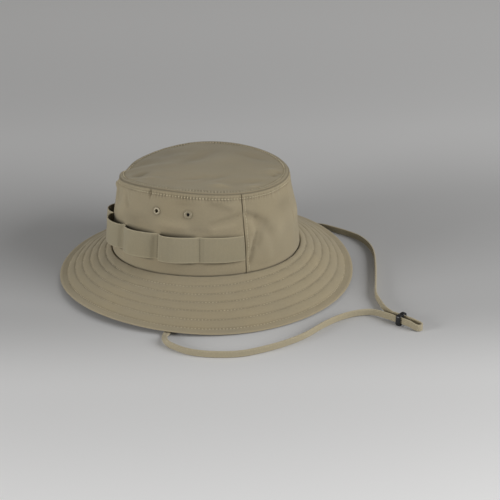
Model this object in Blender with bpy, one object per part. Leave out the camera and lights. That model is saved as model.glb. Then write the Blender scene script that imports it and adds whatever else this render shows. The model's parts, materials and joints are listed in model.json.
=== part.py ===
"""Boonie hat: brimmed sun hat with a branch-loop band, vent eyelets and a chin strap with a slider.

The hat stands on its brim on the plane z = 0. The wearer faces +X, the wearer's left is +Y.
Lengths below are millimetres and angles are degrees from the front towards the wearer's left.
The frame's origin is the middle of the footprint of the hat with its strap laid out on the table;
the empty "hat_datum" is the middle of the head opening, and everything is laid out from it.
"""

import bpy
import numpy as np
from mathutils import Vector

MM = 0.001

# ---------------------------------------------------------------- driving dimensions
DATUM = (-43.9795, 6.2208)      # middle of the head opening, from the middle of the footprint
ROUND_STEPS = 60                # stations round the brim, the tip and the inner bands

CLOTH = 0.7                     # one ply of the hat's cloth, with its seam puff
GAP = 0.35                      # air between neighbouring plies
NEXT_PLY = CLOTH + GAP          # from one ply's face to the same face of the ply behind it

# Waves are (cos, sin) parts of height, one pair for each order from the first
BRIM_HALF = (149.2, 150.0)      # brim edge: half length, half width
BRIM_REST = 0.9                 # height of the middle of the edge where it lies on the table
BRIM_LIFT = 1.9                 # mean lift of the relaxed edge
BRIM_WAVE = ((1.0, 2.1), (-4.2, 3.0))
BRIM_SOFT = 1.5                 # how softly the wave meets the table
BRIM_SEAM_DROP = 0.4            # brim's inner edge below the crown's base
BRIM_SQUARE = 0.2               # share of the width over which the square inner edge fades out

BASE_HALF = (95.5, 90.9)        # crown at the brim seam
BASE_Z = 30.8
BASE_WAVE = ((3.3, -0.3), (-1.8, -0.1))

TOP_HALF = (83.2, 74.0)         # crown at the tip seam
TOP_Z = 108.0
TOP_SHIFT_X = -1.0
TOP_WAVE = ((3.0, -0.6), (-3.7, 0.0), (1.1, 0.2))
WALL_BULGE = 1.6                # the wall's roundness at half height
WALL_RADIUS = 88.0              # nominal radius that turns lengths along the wall into angles

FRONT_SEAM = 46.0               # vertical seams stand this far to each side of the front
REAR_SEAM = 180.0
SEAM_GAP = 0.35

# name: (colour, roughness, metallic)
MATERIALS = {
    "shell_fabric": ((0.325, 0.285, 0.200), 0.85, 0.0),
    "under_fabric": ((0.300, 0.265, 0.185), 0.88, 0.0),
    "stiffener": ((0.62, 0.60, 0.54), 0.95, 0.0),
    "webbing": ((0.275, 0.250, 0.180), 0.80, 0.0),
    "binding_tape": ((0.270, 0.240, 0.170), 0.90, 0.0),
    "sweatband_fabric": ((0.235, 0.210, 0.150), 0.90, 0.0),
    "eyelet_metal": ((0.310, 0.275, 0.190), 0.45, 0.6),
    "strap_fabric": ((0.285, 0.255, 0.180), 0.85, 0.0),
    "slider_plastic": ((0.012, 0.012, 0.013), 0.40, 0.0),
    "label_fabric": ((0.70, 0.69, 0.64), 0.90, 0.0),
}


# ---------------------------------------------------------------- scene and materials
for old in list(bpy.data.objects):
    bpy.data.objects.remove(old, do_unlink=True)


def make_material(name, colour, roughness, metallic):
    made = bpy.data.materials.new(name)
    made.use_nodes = True
    shader = made.node_tree.nodes["Principled BSDF"]
    shader.inputs["Base Color"].default_value = (*colour, 1.0)
    shader.inputs["Roughness"].default_value = roughness
    shader.inputs["Metallic"].default_value = metallic
    made.diffuse_color = (*colour, 1.0)
    return made


materials = {name: make_material(name, *look) for name, look in MATERIALS.items()}


# ---------------------------------------------------------------- objects
def add_empty(name, at, parent=None):
    made = bpy.data.objects.new(name, None)
    made.empty_display_size = 10 * MM
    made.location = Vector(at) * MM
    made.parent = parent
    bpy.context.scene.collection.objects.link(made)
    return made


def signed_volume(verts, faces):
    """Six times the enclosed volume, negative if the faces look inwards."""
    total = 0.0
    for face in faces:
        first = verts[face[0]]
        for second, third in zip(face[1:-1], face[2:]):
            total += np.dot(first, np.cross(verts[second], verts[third]))
    return total


def add_body(name, body, parent, material_name=None):
    """A mesh object from millimetre points in its parent's frame, faces turned outwards.

    Without a material it is a hidden cutter.
    """
    verts, faces = body
    verts = np.asarray(verts, float)
    if signed_volume(verts - verts.mean(axis=0), faces) < 0:
        faces = [tuple(reversed(face)) for face in faces]
    mesh = bpy.data.meshes.new(name)
    mesh.from_pydata([tuple(vert * MM) for vert in verts], [], faces)
    mesh.validate()
    mesh.update()
    mesh.shade_smooth()
    mesh.set_sharp_from_angle(angle=np.radians(35))
    made = bpy.data.objects.new(name, mesh)
    made.parent = parent
    if material_name is None:
        made.hide_render = True
        made.display_type = "WIRE"
    else:
        mesh.materials.append(materials[material_name])
    bpy.context.scene.collection.objects.link(made)
    return made


def cut(target, name, cutter):
    modifier = target.modifiers.new(name, "BOOLEAN")
    modifier.operation = "DIFFERENCE"
    modifier.solver = "EXACT"
    modifier.object = cutter


# ---------------------------------------------------------------- bodies as (points, faces)
def shell(outer, inner, closed):
    """Closed body between two grids of points (stations x rows).

    If closed, the stations run all the way round.
    """
    outer, inner = np.asarray(outer, float), np.asarray(inner, float)
    stations, rows = outer.shape[:2]
    verts = np.concatenate([outer.reshape(-1, 3), inner.reshape(-1, 3)])

    def out(i, j):
        return (i % stations) * rows + j

    def inn(i, j):
        return stations * rows + out(i, j)

    faces = []
    top = rows - 1
    for i in range(stations if closed else stations - 1):
        for j in range(top):
            faces.append((out(i, j), out(i + 1, j), out(i + 1, j + 1), out(i, j + 1)))
            faces.append((inn(i, j), inn(i, j + 1), inn(i + 1, j + 1), inn(i + 1, j)))
        faces.append((out(i, 0), inn(i, 0), inn(i + 1, 0), out(i + 1, 0)))
        faces.append((out(i, top), out(i + 1, top), inn(i + 1, top), inn(i, top)))
    if not closed:
        end = stations - 1
        for j in range(top):
            faces.append((out(0, j), out(0, j + 1), inn(0, j + 1), inn(0, j)))
            faces.append((out(end, j), inn(end, j), inn(end, j + 1), out(end, j + 1)))
    return verts, faces


def capped(rings, first, last):
    """Closed body through rings of equal length, ending in one point at each end."""
    count = len(rings[0])
    verts = [first] + [point for ring in rings for point in ring] + [last]
    end = len(verts) - 1
    final = len(rings) - 1

    def at(k, i):
        return 1 + k * count + i % count

    faces = [(0, at(0, i), at(0, i + 1)) for i in range(count)]
    for k in range(final):
        faces += [
            (at(k, i), at(k + 1, i), at(k + 1, i + 1), at(k, i + 1)) for i in range(count)
        ]
    faces += [(at(final, i + 1), at(final, i), end) for i in range(count)]
    return np.array(verts), faces


def around(count):
    return np.linspace(0, 2 * np.pi, count, endpoint=False)


def turned(profile, count):
    """Closed ring body: a closed (radius, height) profile turned about +Z."""
    size = len(profile)
    verts = [
        (radius * np.cos(angle), radius * np.sin(angle), z)
        for angle in around(count)
        for radius, z in profile
    ]

    def at(i, j):
        return (i % count) * size + j % size

    faces = [
        (at(i, j), at(i + 1, j), at(i + 1, j + 1), at(i, j + 1))
        for i in range(count)
        for j in range(size)
    ]
    return np.array(verts), faces


def cylinder(radius, high, low, count):
    rings = [
        [(radius * np.cos(angle), radius * np.sin(angle), z) for angle in around(count)]
        for z in (high, low)
    ]
    return capped(rings, (0, 0, high), (0, 0, low))


def block(size, middle_y=0.0):
    half_x, half_y, half_z = (length / 2 for length in size)
    corners = [
        (i * half_x, j * half_y + middle_y, k * half_z)
        for i in (-1, 1)
        for j in (-1, 1)
        for k in (-1, 1)
    ]
    faces = [
        (0, 1, 3, 2), (4, 6, 7, 5), (0, 4, 5, 1), (2, 3, 7, 6), (0, 2, 6, 4), (1, 5, 7, 3),
    ]
    return corners, faces


# ---------------------------------------------------------------- the crown's wall surface
# Surface functions take angles in radians
ANGLE_STEP = 1e-3               # half the step for slopes taken along an angle


def waves(angle, parts):
    return sum(
        cos_part * np.cos(order * angle) + sin_part * np.sin(order * angle)
        for order, (cos_part, sin_part) in enumerate(parts, start=1)
    )


def oval(half, angle, z, shift_x=0.0):
    return np.array([shift_x + half[0] * np.cos(angle), half[1] * np.sin(angle), z])


def outwards(angle):
    return np.array([np.cos(angle), np.sin(angle), 0.0])


def unit(vector):
    return vector / np.linalg.norm(vector)


def crown_base(angle):
    return oval(BASE_HALF, angle, BASE_Z + waves(angle, BASE_WAVE))


def crown_top(angle):
    return oval(TOP_HALF, angle, TOP_Z + waves(angle, TOP_WAVE), TOP_SHIFT_X)


def wall_face(angle, share):
    """The wall's outer face at a share of its height."""
    point = crown_base(angle) * (1 - share) + crown_top(angle) * share
    return point + outwards(angle) * WALL_BULGE * 4 * share * (1 - share)


def wall_normal(angle, share):
    step = 0.02
    up = wall_face(angle, share + step) - wall_face(angle, share - step)
    along = wall_face(angle + ANGLE_STEP, share) - wall_face(angle - ANGLE_STEP, share)
    return unit(np.cross(along, up))


def wall_at(angle, share, offset):
    return wall_face(angle, share) + wall_normal(angle, share) * offset


def wall_height(angle):
    return np.linalg.norm(crown_top(angle) - crown_base(angle))


def arc_degrees(length, radius=WALL_RADIUS):
    return np.degrees(length / radius)


# ---------------------------------------------------------------- frames
PIVOT_X = 17.0                  # the strap turns about the ear-to-ear line
PIVOT_Z = 1.3
TRACK_AT = (215.5, -56.2)       # slider's middle
TRACK_TURN = -21.0              # slider's track, from +X
TRACK_Z = 5.0

datum = add_empty("hat_datum", (*DATUM, 0))
strap_pivot = add_empty("strap_pivot", (PIVOT_X, 0, PIVOT_Z), datum)
slider_track = add_empty(
    "slider_track", (TRACK_AT[0] - PIVOT_X, TRACK_AT[1], TRACK_Z - PIVOT_Z), strap_pivot
)
slider_track.rotation_euler = (0, 0, np.radians(TRACK_TURN))

# ---------------------------------------------------------------- brim
# Low and high offsets from the brim's middle surface
PLY_UPPER = (0.55, 1.15)
PLY_STIFFENER = (-0.25, 0.25)
PLY_LOWER = (-PLY_UPPER[1], -PLY_UPPER[0])
HEM_UPPER = (0.15, 0.75)
HEM_LOWER = (-HEM_UPPER[1], -HEM_UPPER[0])
# Shares of the brim's width
HEM_FROM = 0.86                 # where the flat hem starts
HEM_FLAT = 0.93                 # from here to the edge the hem lies level
HEM_BLEND = 0.08                # the plies close up over this share before the hem
ROWS_PLY = (0.0, 0.2, 0.42, 0.64, 0.80, HEM_FROM, HEM_FLAT, 1.0)
ROWS_STIFFENER = (0.02, 0.22, 0.42, 0.62, 0.76)
FOOT_SNAP = 0.6                 # the hem's underside lies on the table where it comes this near
# Relative slopes of the brim across its width
SLOPE_SEAM = 0.85               # at the crown
SLOPE_GAIN = 0.30               # gained from the crown to the hem
SLOPE_HEM = 0.35                # over the start of the hem
FALL_STEPS = 400


def brim_fall_table():
    """Share of the brim's drop that is left at each share of its width.

    The brim steepens outwards, then the hem levels out.
    """
    across = np.linspace(0, 1, FALL_STEPS + 1)
    slope = np.where(across < HEM_FROM, SLOPE_SEAM + SLOPE_GAIN * across / HEM_FROM, SLOPE_HEM)
    slope = np.where(across > HEM_FLAT, 0.0, slope)
    run = np.concatenate([[0.0], np.cumsum((slope[1:] + slope[:-1]) / 2)])
    return across, 1 - run / run[-1]


FALL_TABLE = brim_fall_table()


def smooth(x):
    x = min(max(x, 0.0), 1.0)
    return x * x * (3 - 2 * x)


def brim_edge(angle):
    lift = BRIM_LIFT + waves(angle, BRIM_WAVE)
    soft_lift = 0.5 * (lift + np.sqrt(lift * lift + BRIM_SOFT**2))
    return oval(BRIM_HALF, angle, BRIM_REST + soft_lift)


def brim_mid(angle, share):
    """The brim's middle surface at a share of its width, from the crown outwards."""
    start = crown_base(angle) + outwards(angle) * GAP
    start[2] -= BRIM_SEAM_DROP
    end = brim_edge(angle)
    point = start + (end - start) * share
    point[2] = end[2] + (start[2] - end[2]) * np.interp(share, *FALL_TABLE)
    return point


def brim_normal(angle, share):
    step = 0.03
    across = brim_mid(angle, min(share + step, 1)) - brim_mid(angle, max(share - step, 0))
    along = brim_mid(angle + ANGLE_STEP, share) - brim_mid(angle - ANGLE_STEP, share)
    normal = unit(np.cross(across, along))
    normal = normal if normal[2] > 0 else -normal
    # the inner edge is cut square to the table, so that it stands clear of the wall
    mix = smooth(share / BRIM_SQUARE)
    return unit(normal * mix + np.array([0, 0, 1.0]) * (1 - mix))


def brim_at(angle, share, offset):
    return brim_mid(angle, share) + brim_normal(angle, share) * offset


def brim_ply(name, main, hem, rows, material_name, rests=False):
    """One ring-shaped ply; if it rests, its underside stays on or above the table."""
    upper, lower = [], []
    for angle in around(ROUND_STEPS):
        top, bottom = [], []
        for share in rows:
            mix = smooth((share - (HEM_FROM - HEM_BLEND)) / HEM_BLEND)
            low, high = np.array(main) * (1 - mix) + np.array(hem) * mix
            top.append(brim_at(angle, share, high))
            point = brim_at(angle, share, low)
            if rests and (point[2] < 0 or (share >= HEM_FLAT and point[2] < FOOT_SNAP)):
                point[2] = 0.0
            bottom.append(point)
        upper.append(top)
        lower.append(bottom)
    add_body(name, shell(upper, lower, True), datum, material_name)


brim_ply("brim_upper_ply", PLY_UPPER, HEM_UPPER, ROWS_PLY, "shell_fabric")
brim_ply("brim_lower_ply", PLY_LOWER, HEM_LOWER, ROWS_PLY, "under_fabric", rests=True)
brim_ply("brim_stiffener", PLY_STIFFENER, PLY_STIFFENER, ROWS_STIFFENER, "stiffener")


# ---------------------------------------------------------------- parts that lie along the wall
def wall_strip(name, angles, shares_at, offsets, material_name, closed=False):
    """A strip between two offsets from the wall's outer face; shares_at(angle) gives its rows."""
    outer, inner = (
        [[wall_at(angle, share, offset) for share in shares_at(angle)] for angle in angles]
        for offset in offsets
    )
    return add_body(name, shell(outer, inner, closed), datum, material_name)


# ---------------------------------------------------------------- crown panels
WALL_ROWS = np.linspace(-0.018, 1.0, 7)     # shares of the height, from just below the base


def wall_panel(name, start, end, count):
    """A piece of the crown's side, between two vertical seams, ending just below the tip."""
    gap = arc_degrees(SEAM_GAP / 2)
    angles = np.radians(np.linspace(start + gap, end - gap, count))

    def shares_at(angle):
        return WALL_ROWS * (1.0 - NEXT_PLY / wall_height(angle))

    return wall_strip(name, angles, shares_at, (0.0, -CLOTH), "shell_fabric")


wall_panel("crown_front_panel", -FRONT_SEAM, FRONT_SEAM, 17)
left_panel = wall_panel("crown_side_panel_left", FRONT_SEAM, REAR_SEAM, 25)
right_panel = wall_panel("crown_side_panel_right", -REAR_SEAM, -FRONT_SEAM, 25)

# ---------------------------------------------------------------- crown tip
TIP_RISE = 4.5                  # the tip's soft dome above its seam
TIP_FALL_POWER = 2.4            # how late the dome falls towards its edge
TIP_SHARES = (0.22, 0.45, 0.66, 0.83, 0.94)     # the dome's rings, shares of its radius
TIP_SKIRT = (-NEXT_PLY, -1.65)  # offsets from the wall's outer face
TIP_SKIRT_DROP = 5.5


def crown_tip():
    """The top panel: a low dome whose cut edge turns down inside the wall."""
    angles = around(ROUND_STEPS)
    centre_z = float(np.mean([crown_top(angle)[2] for angle in angles])) + TIP_RISE
    middle = np.array([TOP_SHIFT_X, 0, centre_z])

    def dome(share, drop):
        ring = []
        for angle in angles:
            reach = crown_top(angle) - middle
            point = middle + reach * (share, share, share**TIP_FALL_POWER)
            ring.append(point - (0, 0, drop))
        return ring

    def flank(offset, down):
        return [wall_at(angle, 1.0 - down / wall_height(angle), offset) for angle in angles]

    rings = [dome(share, 0.0) for share in (*TIP_SHARES, 1.0)]
    rings += [
        flank(0.0, CLOTH),
        flank(TIP_SKIRT[0], CLOTH),
        flank(TIP_SKIRT[0], TIP_SKIRT_DROP),
        flank(TIP_SKIRT[1], TIP_SKIRT_DROP),
        flank(TIP_SKIRT[1], CLOTH + 0.1),
    ]
    rings += [dome(share, CLOTH) for share in reversed(TIP_SHARES)]
    return capped(rings, middle, middle - (0, 0, CLOTH))


add_body("crown_tip", crown_tip(), datum, "shell_fabric")

# ---------------------------------------------------------------- bands, tapes and label inside
# Pairs of offsets are from the wall's outer face
SWEATBAND = (-NEXT_PLY, -1.85)
SWEATBAND_FOOT = 0.3
SWEATBAND_HEIGHT = 32.0
TOP_TAPE = (-2.0, -2.5)
TOP_TAPE_DROP = (1.6, 11.6)     # upper and lower edge, below the tip seam
SIDE_TAPE = (-NEXT_PLY, -1.5)
SIDE_TAPE_HALF = 5.0            # half width
SIDE_TAPE_CLEAR = 1.0           # from the sweatband and from the top tape
LABEL = (-2.2, -2.5)
LABEL_HALF = 16.0
LABEL_RADIUS = 92.0             # nominal radius that turns the label's length into an angle
LABEL_SPAN = (8.0, 26.0)        # lower and upper edge, above the wall's base


def inner_band(name, angles, span, offsets, material_name, closed, rows):
    """A strip inside the wall; its span is up from the base or, if negative, from the tip seam."""

    def shares_at(angle):
        tall = wall_height(angle)
        low, high = (edge / tall if edge >= 0 else 1 + edge / tall for edge in span)
        return np.linspace(low, high, rows)

    wall_strip(name, angles, shares_at, offsets, material_name, closed)


def centred_angles(middle, half, count):
    return np.radians(np.linspace(middle - half, middle + half, count))


inner_band(
    "sweatband", around(ROUND_STEPS), (SWEATBAND_FOOT, SWEATBAND_HEIGHT), SWEATBAND,
    "sweatband_fabric", closed=True, rows=3,
)
inner_band(
    "tip_seam_binding", around(ROUND_STEPS), (-TOP_TAPE_DROP[1], -TOP_TAPE_DROP[0]), TOP_TAPE,
    "binding_tape", closed=True, rows=2,
)
for side, seam in (("left", FRONT_SEAM), ("right", -FRONT_SEAM), ("rear", REAR_SEAM)):
    inner_band(
        f"side_seam_binding_{side}",
        centred_angles(seam, arc_degrees(SIDE_TAPE_HALF), 3),
        (SWEATBAND_HEIGHT + SIDE_TAPE_CLEAR, -TOP_TAPE_DROP[1] - SIDE_TAPE_CLEAR),
        SIDE_TAPE, "binding_tape", closed=False, rows=4,
    )
inner_band(
    "blank_label",
    centred_angles(REAR_SEAM, arc_degrees(LABEL_HALF, LABEL_RADIUS), 7),
    LABEL_SPAN, LABEL, "label_fabric", closed=False, rows=2,
)

# ---------------------------------------------------------------- branch-loop band
BAND_SPAN = (0.175, 0.49)       # band's lower and upper edge, shares of the wall's height
BAND_THICK = 1.2
# The band's ends stand clear of the front seams
BAND_TACKS = (
    FRONT_SEAM + arc_degrees(SEAM_GAP),
    74.0, 100.0, 132.0, 157.0, REAR_SEAM, 203.0, 228.0, 260.0, 286.0,
    360.0 - FRONT_SEAM - arc_degrees(SEAM_GAP),
)
BAND_LIFT = (2.2, 3.4, 4.4, 6.4, 6.4, 6.4, 6.4, 4.4, 3.4, 2.2)   # each loop's standoff
BAND_LIFT_POWER = 1.3           # above 1, a loop leaves its tacks gently
BAND_STEPS = 7                  # stations in each loop


def branch_loop_band():
    """Woven tape tacked to the wall at intervals, standing off between tacks to make loops."""
    shares = np.linspace(*BAND_SPAN, 3)
    stations = []               # (angle, offset of the band's inner face)
    for start, end, lift in zip(BAND_TACKS, BAND_TACKS[1:], BAND_LIFT):
        for i in range(BAND_STEPS):
            part = i / BAND_STEPS
            angle = np.radians(start * (1 - part) + end * part)
            stations.append((angle, GAP + lift * np.sin(np.pi * part) ** BAND_LIFT_POWER))
    stations.append((np.radians(BAND_TACKS[-1]), GAP))
    outer, inner = (
        [[wall_at(angle, share, offset + extra) for share in shares] for angle, offset in stations]
        for extra in (BAND_THICK, 0.0)
    )
    return shell(outer, inner, False)


add_body("branch_loop_band", branch_loop_band(), datum, "webbing")

# ---------------------------------------------------------------- vents
VENT_ANGLES = {"rear": 102.0, "front": 81.0}
VENT_HEIGHT = 0.745             # share of the wall's height
VENT_HOLE_R = 1.5
VENT_BARREL_R = 2.1
VENT_FLANGE_R = 4.1
VENT_ROLL_R = 3.1               # the eyelet's inner rim
VENT_CUT_R = 2.5
WASHER_R = 4.3
VENT_STEPS = 16

# Profiles of (radius, offset from the wall's outer face)
EYELET = (
    (VENT_HOLE_R, 0.95),
    (1.95, 1.2),
    (3.3, 1.1),
    (VENT_FLANGE_R, 0.75),
    (VENT_FLANGE_R, GAP + 0.1),
    (VENT_BARREL_R, GAP + 0.1),
    (VENT_BARREL_R, -1.95),
    (VENT_ROLL_R, -1.95),
    (VENT_ROLL_R, -2.4),
    (VENT_HOLE_R, -2.4),
)
WASHER = (
    (VENT_CUT_R, -NEXT_PLY),
    (WASHER_R, -NEXT_PLY),
    (WASHER_R, -1.6),
    (VENT_CUT_R, -1.6),
)


def vent(side, place, panel, angle):
    """Eyelet and washer through a hole in a side panel, square to the wall."""
    eyelet = turned(EYELET, VENT_STEPS)
    washer = turned(WASHER, VENT_STEPS)
    hole = cylinder(VENT_CUT_R, 3.0, -4.0, VENT_STEPS)
    tail = f"{side}_{place}"
    cutter = add_body(f"vent_cutter_{tail}", hole, datum)
    pieces = (
        add_body(f"vent_eyelet_{tail}", eyelet, datum, "eyelet_metal"),
        add_body(f"vent_washer_{tail}", washer, datum, "eyelet_metal"),
        cutter,
    )
    normal = Vector(wall_normal(angle, VENT_HEIGHT))
    for piece in pieces:
        piece.location = Vector(wall_at(angle, VENT_HEIGHT, 0.0)) * MM
        piece.rotation_euler = normal.to_track_quat("Z", "Y").to_euler()
    cut(panel, f"vent_{place}", cutter)


for side, panel, sign in (("left", left_panel, 1), ("right", right_panel, -1)):
    for place, degrees in VENT_ANGLES.items():
        vent(side, place, panel, np.radians(sign * degrees))

# ---------------------------------------------------------------- chin strap
STRAP_WIDE = 6.5
STRAP_THICK = 1.6
STRAP_STEP = 9.0                # spacing of the stations along the strap
STRAP_TABLE = 0.1               # least height of the strap above the table
PIVOT_Y = 153.0
PIVOT_GAP = 0.4                 # from the pivot to the strap's end on each side of it
EDGE_Z = 3.5                    # middle of the tape where it stands on edge

LEAD_ANGLE = 83.0               # where the fixed ends leave the brim seam
LEAD_SWEEP = 0.5                # angle gained from there to the brim's edge
LEAD_GAP = 0.8                  # between the brim's underside and the fixed ends of the strap
LEAD_SHARES = (0.05, 0.25, 0.45, 0.65, 0.82, 0.92, 0.99)    # of the brim's width
LEAD_EDGE_Z = PIVOT_Z + 0.5     # height at the last of these

TRACK_SPREAD = 2.9              # each leg of the strap, from the slider's middle
TRACK_BEHIND, TRACK_AHEAD = 12.0, 11.0      # ends of the straight run through the slider
LOOP_STEP = 3.0                 # spacing of the stations round the loose end

# Middle of the tape: x, y, z and lean (0 flat, 90 on edge)
RIGHT_LEG = [
    (PIVOT_X, -(PIVOT_Y + PIVOT_GAP), PIVOT_Z, 0.0),
    (17.8, -158.0, PIVOT_Z + 0.1, 5.0),
    (22.5, -165.5, 2.7, 62.0),
    (32.0, -171.8, EDGE_Z, 90.0), (49.0, -176.3, EDGE_Z, 90.0),
    (69.0, -174.8, EDGE_Z, 90.0), (92.0, -166.6, EDGE_Z, 90.0),
    (108.0, -154.3, EDGE_Z, 90.0), (125.3, -135.3, EDGE_Z, 90.0),
    (139.2, -114.0, EDGE_Z, 90.0), (149.2, -89.5, EDGE_Z, 90.0),
    (159.0, -71.0, EDGE_Z, 90.0), (171.3, -56.5, EDGE_Z, 90.0),
    (186.5, -49.5, EDGE_Z + 0.6, 90.0),
]
LEFT_LEG = [
    (196.0, -38.5, EDGE_Z + 0.6, 90.0),
    (189.0, -27.0, EDGE_Z, 90.0), (180.5, -11.0, EDGE_Z, 90.0),
    (174.0, 14.0, EDGE_Z, 90.0), (165.5, 48.0, EDGE_Z, 90.0),
    (156.0, 79.5, EDGE_Z, 90.0), (146.0, 99.5, EDGE_Z, 90.0),
    (132.5, 114.5, EDGE_Z, 90.0), (118.0, 122.5, EDGE_Z, 90.0),
    (103.0, 128.0, EDGE_Z, 90.0),
    (88.0, 134.5, 2.8, 60.0),
    (72.0, 142.0, PIVOT_Z, 15.0),
    (55.0, 149.0, PIVOT_Z, 0.0),
    (40.0, 157.0, PIVOT_Z + 0.5, 15.0),
    (27.0, 161.5, PIVOT_Z + 1.0, 30.0),
    (20.0, 161.0, PIVOT_Z + 0.7, 20.0),
    (17.3, 157.2, PIVOT_Z, 0.0),
    (PIVOT_X, PIVOT_Y + PIVOT_GAP, PIVOT_Z, 0.0),
]
# Loose end: distance ahead of the slider's middle, side in shares of TRACK_SPREAD, z
LOOP_END = (
    (14.5, -1.1, 4.4), (18.5, -1.2, 3.9), (21.4, -0.85, 3.6),
    (22.4, 0.0, 3.6),
    (21.4, 0.85, 3.6), (18.5, 1.2, 3.9), (14.5, 1.1, 4.4),
)


def through(points, spacing):
    """Points about every spacing along a Catmull-Rom curve through rows of (x, y, z, lean)."""
    points = np.asarray(points, float)
    padded = np.vstack([2 * points[0] - points[1], points, 2 * points[-1] - points[-2]])
    found = []
    for before, start, end, after in zip(padded, padded[1:], padded[2:], padded[3:]):
        steps = max(1, int(round(np.linalg.norm((end - start)[:3]) / spacing)))
        for i in range(steps):
            part = i / steps
            found.append(
                0.5
                * (
                    2 * start
                    + (end - before) * part
                    + (2 * before - 5 * start + 4 * end - after) * part**2
                    + (3 * start - before - 3 * end + after) * part**3
                )
            )
    found.append(points[-1])
    return np.array(found)


def tape(path):
    """Flat tape along rows of (x, y, z, lean), lifted where a corner would go too low."""
    ahead = np.gradient(path[:, :3], axis=0)
    upper, lower = [], []
    for row, way in zip(path, ahead):
        way = unit(way)
        flat_side = unit(np.cross((0, 0, 1), way))
        over = np.cross(way, flat_side)
        lean = np.radians(row[3])
        broad = flat_side * np.cos(lean) + over * np.sin(lean)
        half_thick = np.cross(way, broad) * STRAP_THICK / 2
        half_wide = broad * STRAP_WIDE / 2
        reach = abs(half_wide[2]) + abs(half_thick[2])
        middle = row[:3] + (0, 0, max(0.0, STRAP_TABLE + reach - row[2]))
        upper.append([middle - half_wide + half_thick, middle + half_wide + half_thick])
        lower.append([middle - half_wide - half_thick, middle + half_wide - half_thick])
    return shell(upper, lower, False)


def strap_lead(side, sign):
    """The fixed end of the strap: from the brim seam, along the brim's underside, to its edge."""
    offset = PLY_LOWER[0] - LEAD_GAP - STRAP_THICK / 2
    rows = []
    for share in LEAD_SHARES:
        angle = np.radians(sign * (LEAD_ANGLE + LEAD_SWEEP * share))
        x, y, z = brim_at(angle, share, offset)
        rows.append((x * (1 - share) + PIVOT_X * share, y, z, 0.0))
    rows[-1] = (*rows[-1][:2], LEAD_EDGE_Z, 0.0)
    rows.append((PIVOT_X, sign * (PIVOT_Y - PIVOT_GAP), PIVOT_Z, 0.0))
    add_body(f"strap_lead_{side}", tape(through(rows, STRAP_STEP)), datum, "strap_fabric")


def track(ahead, side, z=TRACK_Z):
    """A station on edge, placed along and across the slider's track."""
    turn = np.radians(TRACK_TURN)
    across = TRACK_SPREAD * side
    x = TRACK_AT[0] + np.cos(turn) * ahead - np.sin(turn) * across
    y = TRACK_AT[1] + np.sin(turn) * ahead + np.cos(turn) * across
    return (x, y, z, 90.0)


def chin_strap():
    """One tape from the right pivot, through the slider, round the loose end and back."""
    # these stations only steer the legs into the slider and are left out of the path
    steering = np.linspace(-TRACK_BEHIND, TRACK_AHEAD, 4)
    straight = np.linspace(-TRACK_BEHIND + 3, TRACK_AHEAD - 1, 3)
    right_leg = RIGHT_LEG + [track(ahead, -1) for ahead in steering]
    left_leg = [track(ahead, 1) for ahead in steering[::-1]] + LEFT_LEG
    loose_end = [
        track(TRACK_AHEAD, -1), *(track(*row) for row in LOOP_END), track(TRACK_AHEAD, 1),
    ]
    path = np.vstack(
        [
            through(right_leg, STRAP_STEP)[: -len(steering)],
            [track(ahead, -1) for ahead in straight],
            through(loose_end, LOOP_STEP),
            [track(ahead, 1) for ahead in straight[::-1]],
            through(left_leg, STRAP_STEP)[len(steering) :],
        ]
    )
    verts, faces = tape(path)
    return verts - (PIVOT_X, 0, PIVOT_Z), faces


strap_lead("left", 1)
strap_lead("right", -1)
add_body("chin_strap", chin_strap(), strap_pivot, "strap_fabric")

# ---------------------------------------------------------------- slider
SLIDER_SIZE = (5.0, 13.6, 9.8)  # along the track, across it, height
SLOT_SIZE = (SLIDER_SIZE[0] * 3, 2.6, 7.6)


def strap_slider():
    """A block with a slot for each leg of the strap and softened edges."""
    slider = add_body("strap_slider", block(SLIDER_SIZE), slider_track, "slider_plastic")
    for name, sign in (("left", 1), ("right", -1)):
        slot = block(SLOT_SIZE, sign * TRACK_SPREAD)
        cut(slider, f"slot_{name}", add_body(f"slider_slot_{name}", slot, slider_track))
    bevel = slider.modifiers.new("soft_edges", "BEVEL")
    bevel.width = 0.7 * MM
    bevel.segments = 2
    bevel.limit_method = "ANGLE"


strap_slider()
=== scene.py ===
"""Looks of a boonie hat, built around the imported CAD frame.

Lengths are millimetres from the middle of the head opening: +X the way the wearer faces, +Y the
wearer's left, +Z up, with the hat lying brim down on z = 0. place() turns them into the frame's
metres. Lights, camera and floor are in metres.

Names used throughout: angle is in radians and deg in degrees, both from +X towards +Y; span is the
share of the way across the brim, from crown to edge; rise is the share of the way up the wall.
"""

import json

import bpy
import numpy as np
from mathutils import Matrix, Vector


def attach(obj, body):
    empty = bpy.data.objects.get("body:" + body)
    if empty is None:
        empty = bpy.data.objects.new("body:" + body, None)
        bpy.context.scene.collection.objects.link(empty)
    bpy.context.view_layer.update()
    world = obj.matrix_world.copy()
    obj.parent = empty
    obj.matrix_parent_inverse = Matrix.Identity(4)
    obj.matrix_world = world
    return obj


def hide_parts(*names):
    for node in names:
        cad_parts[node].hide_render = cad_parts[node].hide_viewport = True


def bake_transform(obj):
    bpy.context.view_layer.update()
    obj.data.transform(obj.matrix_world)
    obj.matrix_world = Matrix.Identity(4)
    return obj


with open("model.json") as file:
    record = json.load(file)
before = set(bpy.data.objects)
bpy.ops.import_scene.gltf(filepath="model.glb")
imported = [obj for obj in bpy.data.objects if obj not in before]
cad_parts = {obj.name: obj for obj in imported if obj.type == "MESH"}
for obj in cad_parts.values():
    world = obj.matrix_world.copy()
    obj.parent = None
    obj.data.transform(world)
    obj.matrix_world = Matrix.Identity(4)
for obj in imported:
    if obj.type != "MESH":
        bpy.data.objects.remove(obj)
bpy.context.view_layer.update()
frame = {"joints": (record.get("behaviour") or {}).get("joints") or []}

MM = 0.001
PIVOT_X, PIVOT_Y, PIVOT_Z = 17.0, 153.0, 1.3  # where the chin strap swings
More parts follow.
